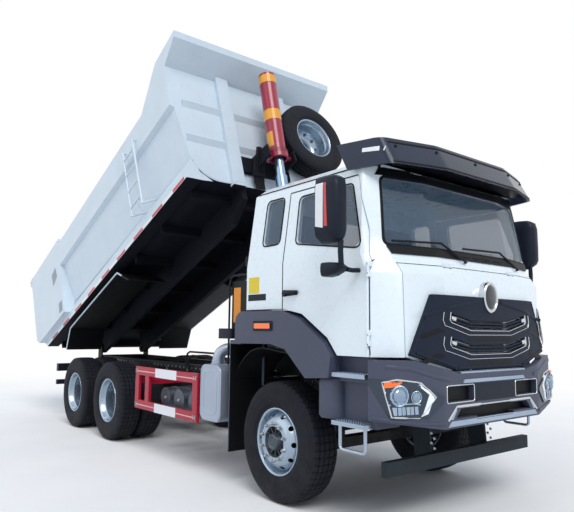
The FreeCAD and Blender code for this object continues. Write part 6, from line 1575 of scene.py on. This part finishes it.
@dataclass(frozen=True)
class MirrorTrim:
    """Moulded mirror housings on their arms, with glass, pale outer panels and red strips.

    A housing's section is its height, inner and outer place and depth.
    """

    back: float = 0.937
    large: tuple = ((2.75, 1.39, 1.45, 0.08), (2.742, 1.362, 1.492, 0.16), (2.715, 1.352, 1.518, 0.205),
                    (2.65, 1.35, 1.5275, 0.221), (2.45, 1.35, 1.5285, 0.223), (2.31, 1.35, 1.5275, 0.221),
                    (2.27, 1.352, 1.516, 0.205), (2.24, 1.358, 1.478, 0.175), (2.217, 1.372, 1.44, 0.14))
    small: tuple = ((2.07, 1.345, 1.445, 0.08), (2.062, 1.328, 1.462, 0.15), (2.03, 1.322, 1.468, 0.2),
                    (1.995, 1.324, 1.466, 0.17), (1.968, 1.332, 1.458, 0.1), (1.96, 1.35, 1.44, 0.04))
    arms: tuple = ((((1.4, 2.235), (1.405, 2.15), (1.4, 2.08), (1.395, 2.03)), 0.022),
                   (((1.34, 2.015), (1.28, 2.01), (1.205, 2.015)), 0.019))
    pale: tuple = ((0.945, 2.345), (1.03, 2.325), (1.03, 2.68), (0.945, 2.68))
    red: tuple = ((1.04, 2.335), (1.075, 2.335), (1.06, 2.675), (1.036, 2.68))
    glass: tuple = ((2.28, 2.53), (2.55, 2.7))

    def shell(self, side: Side, levels: Sequence[Point]) -> Shape:
        """Build a housing, flat behind and bowed ahead.

        Args:
            side: The side.
            levels: Its sections.

        Returns:
            The housing.
        """
        rings = []
        for z, inner, outer, depth in levels:
            middle, half = (inner + outer) / 2, (outer - inner) / 2
            section = []
            for turn in (radians(-90 + 10 * k) for k in range(19)):
                wide = copysign(abs(sin(turn)) ** 0.6, turn)
                deep = max(0.0, cos(turn)) ** 0.55
                section.append(at(self.back + depth * deep, side.value * (middle + half * wide), z))
            rings.append(section)
        return Shape().loft(rings)

    def dress(self) -> None:
        """Build the mirrors."""
        for side in Side:
            y, body = side.value, "door_assembly_" + side.tag
            made = self.shell(side, self.large)
            skin = Skin(over=made)
            made.joined(self.shell(side, self.small))
            for line, radius in self.arms:
                made.tube([at(1.1, y * a, z) for a, z in line], radius, 12)
            piece("mirror_housings_" + side.tag, made, Paint.TRIM_DARK, body,
                  ("mirrors_" + side.tag,), angle=45)
            pale = skin.patch(flank(self.pale, side, 1.54), 0.002, 4, 10)
            red = skin.patch(flank(self.red, side, 1.54), 0.002, 3, 10)
            glass = Shape().joined(*(
                skin.patch(nose(oblong(1.375, 1.505, *limits), 0.93, y, -BACKWARD), 0.003, 3, 4)
                for limits in self.glass))
            for name, shape, finish in (("pale_panel_", pale, Paint.GUARD_WHITE), ("red_strip_", red, Paint.RED_LENS),
                                        ("glass_", glass, Paint.MIRROR)):
                piece("mirror_" + name + side.tag, shape, finish, body)


@dataclass(frozen=True)
class VisorTrim:
    """Lips, bolts, underside in painted shade and blank label of the sun visor."""

    top: tuple = ((-1.0, 3.07), (-0.52, 3.075), (0.52, 3.075), (1.0, 3.07))
    foot: tuple = ((-1.03, 2.885), (-0.52, 2.885), (0.52, 2.885), (1.03, 2.885))
    bolts: tuple = (-0.95, -0.55, 0.0, 0.55, 0.95)
    label: tuple = ((1.05, 3.0), (1.24, 2.985), (1.24, 3.025), (1.05, 3.035))

    def dress(self) -> None:
        """Build the visor's trim."""
        skin = Skin("sun_visor")
        made = skin.strip(nose(self.top, 1.3), 0.02, 0.006).joined(skin.strip(nose(self.foot), 0.018, 0.006))
        for y in self.bolts:
            point, normal = skin.hit(at(1.35, y, 3.035), BACKWARD)
            made.tube([point - normal * 0.002, point + normal * 0.008], 0.014, 12)
        rings, thick = [], Vector((0, 0, 0.005))
        for y in (-1.02 + 0.068 * k for k in range(31)):
            found = skin.tree.ray_cast(at(1.0, y, 2.93), -BACKWARD)[0] or at(1.3, y, 2.93)
            front, back = found + Vector((0.006, 0, 0)), at(1.04, y * 0.97, 2.955)
            low = front.lerp(back, 0.4) - Vector((0, 0, 0.03))
            rings.append([front, low, back, back - thick, low - thick, front - thick])
        label = skin.patch(flank(self.label, Side.RIGHT, 1.17), 0.002, 4, 2)
        # The visor's underside takes near-black painted shade, darker than the visor itself.
        piece("visor_underside", Shape().loft(rings), Paint.VISOR_LIT, "chassis")
        piece("visor_blank_label", label, Paint.TAPE_WHITE, "chassis")
        piece("visor_lips_and_bolts", made, Paint.BLACK, "chassis")


@dataclass(frozen=True)
class ArchTrim:
    """Dark liners over the front wheels, the moulded wall between arch and steps, and a rear ledge."""

    hub_z: float = 0.538
    radii: tuple = ((14, 0.78), (30, 0.775), (50, 0.775), (60, 0.78), (70, 0.8), (80, 0.8), (90, 0.8),
                    (100, 0.83), (110, 0.88), (120, 0.92), (140, 0.92), (155, 0.86), (170, 0.78))
    wall: tuple = ((0.835, 0.012), (0.86, 0), (0.95, 0), (1.05, 0), (1.13, 0), (1.155, 0.012))

    def radius(self, angle: float) -> float:
        """Find the liner's radius.

        Args:
            angle: Degrees round the hub, from ahead upwards.

        Returns:
            The radius.
        """
        pairs = zip(self.radii, self.radii[1:])
        (a, low), (b, high) = next(((p, q) for p, q in pairs if angle <= q[0]), self.radii[-2:])
        return low + (high - low) * (angle - a) / (b - a)

    def dress(self) -> None:
        """Build both liners and walls, and the ledge behind the right fender."""
        liner, wall = Shape(), Shape()
        for y in (-1, 1):
            rings = []
            for angle in range(14, 171, 4):
                radius, turn = self.radius(angle), radians(angle)
                rings.append([at(r * cos(turn), y * w, self.hub_z + r * sin(turn)) for r, w in
                              ((radius, 0.64), (radius, 1.13), (radius + 0.01, 1.13), (radius + 0.01, 0.64))])
            liner.loft(rings).box(at(-0.72, y * 0.6, 1.08), at(0.62, y * 0.61, 1.4))
            wall.loft([[at(a, y * b, z) for a, b in (
                (0.615 + pull, 1.07), (0.615 + pull, 1.175 - pull), (0.63 + pull, 1.2 - pull), (0.66, 1.21 - pull),
                (0.74, 1.2 - pull), (0.8, 1.15 - pull), (0.82, 1.1), (0.82, 1.07))] for z, pull in self.wall])
        outline = rounded(oblong(-0.99, -0.745, -1.19, -1.0), 0.03, 4)
        ledge = Shape().loft([[at(a, b, z) for a, b in outline] for z in (1.45, 1.555)]
                             + [[at(a * 0.97 - 0.026, b * 0.97 - 0.033, 1.548) for a, b in outline]])
        for name, shape, finish in (("arch_ledge", ledge, Paint.TRIM_DARK), ("arch_liners", liner, Paint.BLACK),
                                    ("arch_walls", wall, Paint.TRIM)):
            piece(name, shape, finish, "chassis", angle=50)


# ---- along the frame


@dataclass(frozen=True)
class FrameTrim:
    """Guard stripes, pipes, clamps, tank bands, rear lamps and the air box's trim."""

    white: tuple[float, float] = (-2.395, -1.854)
    guard: tuple[float, float] = (-2.93, -1.4)
    rails: tuple = ((0.95, 1.06), (0.53, 0.64))
    outer_pipe: tuple = ((-2.95, 0.47, 1.0), (-2.95, 0.47, 1.16), (-2.92, 0.47, 1.21), (-2.86, 0.47, 1.235),
                         (-1.5, 0.47, 1.235), (-1.44, 0.47, 1.21), (-1.42, 0.47, 1.15), (-1.42, 0.46, 1.0))
    inner_pipe: tuple = ((-2.89, 0.47, 1.0), (-2.89, 0.47, 1.11), (-2.86, 0.47, 1.16), (-2.8, 0.47, 1.185),
                         (-1.56, 0.47, 1.185), (-1.5, 0.47, 1.16), (-1.48, 0.47, 1.1), (-1.48, 0.46, 1.0))
    filler: tuple = ((0.0, 0.001), (0.0, 0.05), (0.004, 0.056), (0.022, 0.056), (0.026, 0.05), (0.026, 0.001))
    drain: tuple = ((0.012, 0.02), (0.0, 0.02), (-0.014, 0.016), (-0.014, 0.002), (0.012, 0.002))
    hoop: tuple = ((-1.02, -1.03, 1.1), (-1.02, -1.03, 2.04), (-1.0, -1.03, 2.1), (-0.94, -1.03, 2.12),
                   (-0.7, -1.03, 2.12), (-0.66, -1.03, 2.1), (-0.655, -1.03, 2.04), (-0.655, -1.03, 1.76))
    hoop_foot: tuple = ((-1.02, -1.03, 1.1), (-1.0, -0.7, 1.06), (-0.98, -0.42, 1.05))

    def guards(self) -> None:
        """Build the side guards' white middles, fine pale lines and bolts."""
        white, lines, bolts = Shape(), Shape(), Shape()
        for y in (-1, 1):
            for bottom, top in self.rails:
                white.box(at(self.white[0], y * 1.199, bottom + 0.001), at(self.white[1], y * 1.203, top - 0.001))
                level = bottom + (top - bottom) * 0.42
                for a, b in ((self.guard[0], self.white[0] - 0.01), (self.white[1] + 0.01, self.guard[1])):
                    lines.box(at(a, y * 1.199, level), at(b, y * 1.203, level + 0.012))
            pair = grid(Shape().tube([(0, 0, 0), (0, y * 0.008, 0)], 0.011, 6), (0.05, 0, 0), Paint.STEEL, 2)
            bolts.joined(*(pair.shifted(at(x, y * 1.199, z)) for z in (0.57, 0.6, 0.99, 1.02)
                           for x in (-2.94, -1.445)))
        piece("guard_white_bands", white, Paint.GUARD_WHITE, "chassis", bevel=0.001)
        piece("guard_pale_lines", lines, Paint.GUARD_LINE, "chassis")
        piece("guard_bolts", bolts, Paint.STEEL, "chassis")

    def pipes(self) -> None:
        """Build the pipes and hoses over and along the frame, with their clamps."""
        made, clamps = Shape(), Shape()
        clamp = grid(Shape().box((-0.012, -0.012, -0.07), (0.012, 0.012, 0.07)), (0.62, 0, 0), Paint.STEEL, 9)
        for y in (-1, 1):
            for pipe in (self.outer_pipe, self.inner_pipe):
                made.tube([at(a, y * b, c) for a, b, c in pipe], 0.013)
            for level in (0.98, 0.93, 0.88):
                made.tube([at(x, y * 0.437, level + 0.006 * sin(x * 5)) for x in
                           (-5.6 + 0.25 * k for k in range(26))], 0.008, 8)
            clamps.joined(clamp.shifted(at(-5.45, y * 0.436, 0.93)))
        piece("frame_pipes", made, Paint.HOSE, "chassis", angle=60)
        piece("frame_pipe_clamps", clamps, Paint.STEEL, "chassis", bevel=0.002)

    def rivets(self) -> None:
        """Build the bolt heads along the rails and on the underrun's arms."""
        made = Shape()
        for y in (-1, 1):
            row = grid(Shape().tube([(0, 0, 0), (0, y * 0.009, 0)], 0.013, 6), (0.115, 0, 0), Paint.FRAME, 52)
            made.joined(*(row.shifted(at(-6.2, y * 0.424, level)) for level in (0.83, 1.01)))
            for x, z in ((1.16, 0.62), (1.19, 0.66), (1.16, 0.7), (1.19, 0.58)):
                made.tube([at(x, y * 0.411, z), at(x, y * 0.418, z)], 0.012, 8)
        piece("frame_bolt_heads", made, Paint.STEEL, "chassis")

    def tanks(self) -> None:
        """Build bands round the air tanks and the fuel tank, and the filler's cap."""
        made = Shape()
        band = Shape().lathe([(-0.016, 0.1255), (-0.016, 0.129), (0.016, 0.129), (0.016, 0.1255)], 48)
        drain = Shape().lathe(self.drain, 16)
        for x in (-1.7, -2.05, -2.4):
            made.joined(band.shifted(at(x, -0.58, 0.7)), band.shifted(at(x, -0.92, 0.7)),
                        drain.shifted(at(x, -1.05, 0.7)))
        outer = rounded(oblong(0.515, 1.1575, 0.515, 1.1345), 0.09)
        inner = rounded(oblong(0.519, 1.1535, 0.519, 1.1305), 0.086)
        for x in (-2.35, -1.7):
            made.loft([[at(x + side, y, z) for y, z in loop] for side, loop in
                       ((-0.025, inner), (-0.025, outer), (0.025, outer), (0.025, inner))], endless=True)
        piece("tank_bands", made, Paint.STEEL, "chassis", angle=50)
        upright = Matrix.Translation(at(-1.62, 0.84, 1.128)) @ Matrix.Rotation(radians(90), 4, "X")
        piece("fuel_filler_cap", Shape().lathe(self.filler, 24).moved(upright), Paint.BLACK, "chassis")

    def silencer(self) -> None:
        """Build the silencer's raised rims and its pipe's collars."""
        skin, made = Skin("silencer_box"), Shape()
        for inset in (0.02, 0.075):
            edge = rounded(oblong(-1.306 + inset, -0.894 - inset, 0.586 + inset, 1.172 - inset), 0.07)
            made.joined(skin.strip(flank(edge, Side.RIGHT), 0.01, 0.004, True))
        for low, high, radius in ((1.18, 1.215, 0.071), (1.165, 1.18, 0.082)):
            made.tube([at(-1.235, -1.02, low), at(-1.235, -1.02, high)], radius, 32)
        ahead, spot = Vector((0.275, 0.5, 0.064)).normalized() * 0.02, at(-1.1, -0.775, 1.35)
        made.tube([spot - ahead, spot + ahead], 0.071, 32)
        piece("silencer_rims", made, Paint.ALUMINIUM, "chassis", angle=50)

    def rear(self) -> None:
        """Build the rear lamps' lenses and the stripes on the rear bar."""
        red, amber = Shape(), Shape()
        for y in (-1, 1):
            for a, b, target in ((0.8, 0.9, red), (0.91, 1.01, amber), (1.02, 1.11, red)):
                low, high = sorted((y * a, y * b))
                target.prism(rounded(oblong(low, high, 0.805, 0.905), 0.015, 4), Axis.X,
                             FRONT_AXLE - 6.448, FRONT_AXLE - 6.438)
        piece("rear_lamp_red", red, Paint.RED_LENS, "chassis", bevel=0.003)
        piece("rear_lamp_amber", amber, Paint.AMBER, "chassis", bevel=0.003)
        stripe = Shape().prism([(0, 0.565), (0.09, 0.565), (0.15, 0.635), (0.06, 0.635)], Axis.X, 0, 0.003)
        stripes = grid(stripe, (0, 0.2, 0), Paint.TAPE_RED, 11).shifted(at(-6.4425, -1.1, 0))
        piece("rear_bar_stripes", stripes, Paint.TAPE_RED, "chassis")

    def intake(self) -> None:
        """Build the air box's blank orange label, its louvres and the pipe frame round it."""
        label = Skin("air_intake").patch(flank(oblong(-0.965, -0.835, 1.62, 1.99), Side.RIGHT, 1.0), 0.002, 4, 6)
        piece("blank_label_orange", label, Paint.LABEL_ORANGE, "chassis")
        slat = Shape().box((-0.004, -0.13, -0.006), (0.012, 0.13, 0.006))
        made = grid(slat, (0, 0, 0.035), Paint.BLACK, 12).shifted(at(-0.702, -0.855, 1.58))
        made.tube([at(*p) for p in self.hoop], 0.011).tube([at(*p) for p in self.hoop_foot], 0.011)
        piece("intake_louvres_and_hoop", made, Paint.TRIM_DARK, "chassis", angle=50)

    def dress(self) -> None:
        """Build everything along the frame."""
        for build in (self.guards, self.pipes, self.rivets, self.tanks, self.silencer, self.rear, self.intake):
            build()


# ---- bed and hoist


@dataclass(frozen=True)
class BedTrim:
    """The tub with painted shade on its underside and behind its skirts, its worn inside, tape, plates with patches of
    painted recess shade, hoses and welds.
    """

    tape_h: tuple[float, float] = (-0.018, 0.022)
    tapes: tuple = ((Paint.TAPE_RED, -0.06, "bed_tape_red"), (Paint.TAPE_WHITE, -0.36, "bed_tape_white"))
    arc: tuple = ((1.12, 0.27), (1.0, 0.12), (0.86, 0.035), (0.7, 0.012), (0.45, 0.01))
    patches: tuple = (((-4.62, 0.78), (-4.4, 0.86), (-4.46, 1.06), (-4.66, 1.0)),
                      ((-4.42, 0.16), (-4.26, 0.16), (-4.26, 0.34), (-4.42, 0.34)))
    hose: tuple = ((0.27, -0.26, 1, 0.36), (0.2, -0.27, 1.3, 0.26), (0.12, -0.26, 1.4, 0.15),
                   (0.07, -0.23, 1.2, 0.05), (0.05, -0.2, 1, -0.03))
    guard_edge: tuple = ((-4.67, -0.385), (-4.4, -0.118), (-4.3, -0.112), (-2.4, -0.112), (-2.33, -0.118),
                         (-2.2, -0.228))
    skirt_end: tuple = ((0.84, -0.012), (1.0, -0.0235), (1.2075, -0.0235), (1.2075, 0.094), (1.104, 0.27),
                        (1.05, 0.18), (0.97, 0.08), (0.9, 0.03))

    def shell(self) -> None:
        """Stand a softened copy of the tub in its place, with a finish for each side of its sheets; faces turned down
        and faces hidden behind the skirts take painted shade.
        """
        mesh = merged_copy("bed_tub")
        piece("bed_shell", mesh, Paint.BED, "bed", ("bed_tub",), 0.006, 30.0)
        mesh.materials.append(Paint.UNDER.make())
        mesh.materials.append(Paint.BED_INSIDE.make())
        lower = BED.lift().inverted()
        for face in mesh.polygons:
            spot, normal = lower @ face.center - BED.corner, lower.to_3x3() @ face.normal
            outward, aside = normal.y * spot.y, abs(spot.y)
            # Faces turned down, and wall faces hidden behind the skirts, take painted shade; the inside takes its worn
            # finish.
            shaded_underside = normal.z < -0.25 and spot.z < 0.262 and aside < 1.17 and spot.x < 0.06
            shaded_behind_skirt = spot.z < 0.2 and aside < 1.1 and outward > 0.2 and spot.x < 0
            inside = spot.z > 0.004 and spot.x < -0.02 and outward < 0.2 and aside < 1.235
            if shaded_underside or shaded_behind_skirt:
                face.material_index = 1
            elif inside and (normal.z > 0.25 or outward < 0):
                face.material_index = 2

    def tape(self) -> None:
        """Build the red and white tape along the side rails' lower edge."""
        for finish, start, name in self.tapes:
            made = Shape()
            for y in (-1, 1):
                strip = Shape().box((-0.3, y * 1.2075, self.tape_h[0]), (0, y * 1.2095, self.tape_h[1]))
                made.joined(grid(strip, (-0.6, 0, 0), finish, 9).shifted(Vector((start, 0, 0))))
            piece(name, BED.shape(made), finish, "bed")

    def plates(self) -> None:
        """Build the weld lines, and the darker patches on the sides that are painted shade for recessed panels."""
        skin, lift = Skin("bed_tub"), BED.lift().to_3x3()
        weld, patches = Shape(), Shape()
        for side in Side:
            y, inward = side.value, lift @ Vector((0, -side.value, 0))
            arc = Seen([BED.on(0.3, y * v, h) for v, h in self.arc], lift @ BACKWARD)
            seam = Seen([BED.on(0.3, y * 0.6, h) for h in (0.03, 0.5, 1.0, 1.55)], lift @ BACKWARD)
            weld.joined(skin.strip(arc, 0.012, 0.005), skin.strip(seam, 0.008, 0.003))
            # Patches darker than the bed: painted shade for recessed panels.
            for places in self.patches:
                patches.joined(skin.patch(Seen([BED.on(x, y * 1.3, h) for x, h in places], inward), 0.003, 2, 2))
            for h in (0.965, 0.28):
                line = Seen([BED.on(x, y * 1.3, h) for x in (-0.5, -2.4, -4.1)], inward)
                weld.joined(skin.strip(line, 0.01, 0.004, step=0.3))
        piece("bed_weld_lines", weld, Paint.BED, "bed", angle=60)
        piece("bed_side_patches", patches, Paint.PATCH, "bed")

    def hoses(self) -> None:
        """Build the fixed bundle of hoses and its straps beside the hoist."""
        made = Shape()
        for k in range(5):
            shift = 0.026 * k
            made.tube([BED.on(0.3 + 0.01 * (k % 2), -0.25 + shift * 0.4, 0.44),
                       *(BED.on(x, y + shift * share, h) for x, y, share, h in self.hose)], 0.017)
        for x, h in ((0.22, 0.3), (0.13, 0.12)):
            made.tube([BED.on(x, y, h) for y in (-0.29, -0.24, -0.16, -0.1)], 0.03, 10, 0.5)
        piece("bed_hose_bundle", made, Paint.HOSE, "bed", angle=60)

    def edges(self) -> None:
        """Build the rod along each mudguard's outer edge and the plate that closes each skirt's front end."""
        rods, ends = Shape(), Shape()
        for y in (-1, 1):
            rods.tube([BED.on(x, y * 1.151, h) for x, h in self.guard_edge], 0.012, 8)
            ends.prism([(y * w, h) for w, h in self.skirt_end], Axis.X, -0.008, -0.003)
        piece("mudguard_edges", rods, Paint.BED, "bed")
        piece("bed_skirt_ends", BED.shape(ends), Paint.BED, "bed")

    def dress(self) -> None:
        """Build the bed's pieces."""
        for build in (self.shell, self.tape, self.plates, self.hoses, self.edges):
            build()


@dataclass(frozen=True)
class HoistTrim:
    """Bands, cap, blank label and ring grooves on the hoist's cover, placed along its line from its foot."""

    foot: Vector = at(-0.85, 0, 0.9)
    lean: float = 103.3
    cover: float = 0.114
    groove: float = 0.135
    cap: tuple = ((4.14, 0.1155), (4.152, 0.113), (4.1575, 0.106), (4.1595, 0.09), (4.16, 0.002), (4.14, 0.002))

    def place(self) -> Matrix:
        """Find the turn and move from the Y axis to the hoist's line.

        Returns:
            Both, as one matrix.
        """
        lean = radians(self.lean)
        along, across = Vector((cos(lean), 0, sin(lean))), Vector((0, 1, 0))
        turn = Matrix((along.cross(across), along, across)).transposed().to_4x4()
        return Matrix.Translation(self.foot) @ turn

    def band(self, low: float, high: float, radius: float, thick: float = 0.0016) -> Shape:
        """Return a thin sleeve from low to high on the hoist's line, lying on that radius."""
        inner, outer = radius - 0.001, radius + thick
        return Shape().lathe([(low, inner), (low, outer), (high, outer), (high, inner)])

    def label(self, low: float, high: float, start: float, end: float) -> Shape:
        """Build a curved label on the cover.

        Args:
            low: Its start along the line.
            high: Its end.
            start: Where it starts round the cover, in degrees.
            end: Where it ends.

        Returns:
            The label.
        """
        steps, out, inn = 16, self.cover + 0.0016, self.cover - 0.002
        return Shape().loft([[(r * sin(t), y, r * cos(t)) for y, r in
                              ((low, inn), (low, out), (high, out), (high, inn))]
                             for t in (radians(start + (end - start) * k / steps) for k in range(steps + 1))])

    def dress(self) -> None:
        """Build the hoist's trim."""
        yellow = self.band(4.035, 4.152, self.cover).lathe(self.cap).joined(self.band(3.47, 3.625, self.cover))
        lines = Shape().joined(*(self.band(a, a + 0.005, self.cover, 0.0022) for a in (3.466, 3.624, 4.03)),
                               *(self.band(a, a + 0.012, self.groove, 0.0012) for a in (2.985, 3.015)))
        for name, shape, finish in (("hoist_yellow_bands", yellow, Paint.HOIST_YELLOW),
                                    ("hoist_dark_lines", lines, Paint.HOIST_DARK),
                                    ("hoist_blank_label", self.label(3.08, 3.29, 150, 215), Paint.HOIST_YELLOW)):
            piece(name, shape.moved(self.place()), finish, "hoist_head")


# ---- the whole truck


def main() -> None:
    """Build the truck's fine pieces and its studio."""
    logging.basicConfig(level=logging.INFO, format="%(name)s: %(message)s")
    for left_over in list(bpy.data.objects):
        if left_over.name in ("Cube", "Light", "Camera"):
            bpy.data.objects.remove(left_over)
    Studio().build()
    for part in (Carried(), Wheels(), Skins(), CabTrim(), Interior(), GrilleTrim(), Headlamps(), BumperTrim(),
                 StepTrim(), MirrorTrim(), VisorTrim(), ArchTrim(), FrameTrim(), BedTrim(), HoistTrim()):
        part.dress()


if __name__ == "__main__":
    main()
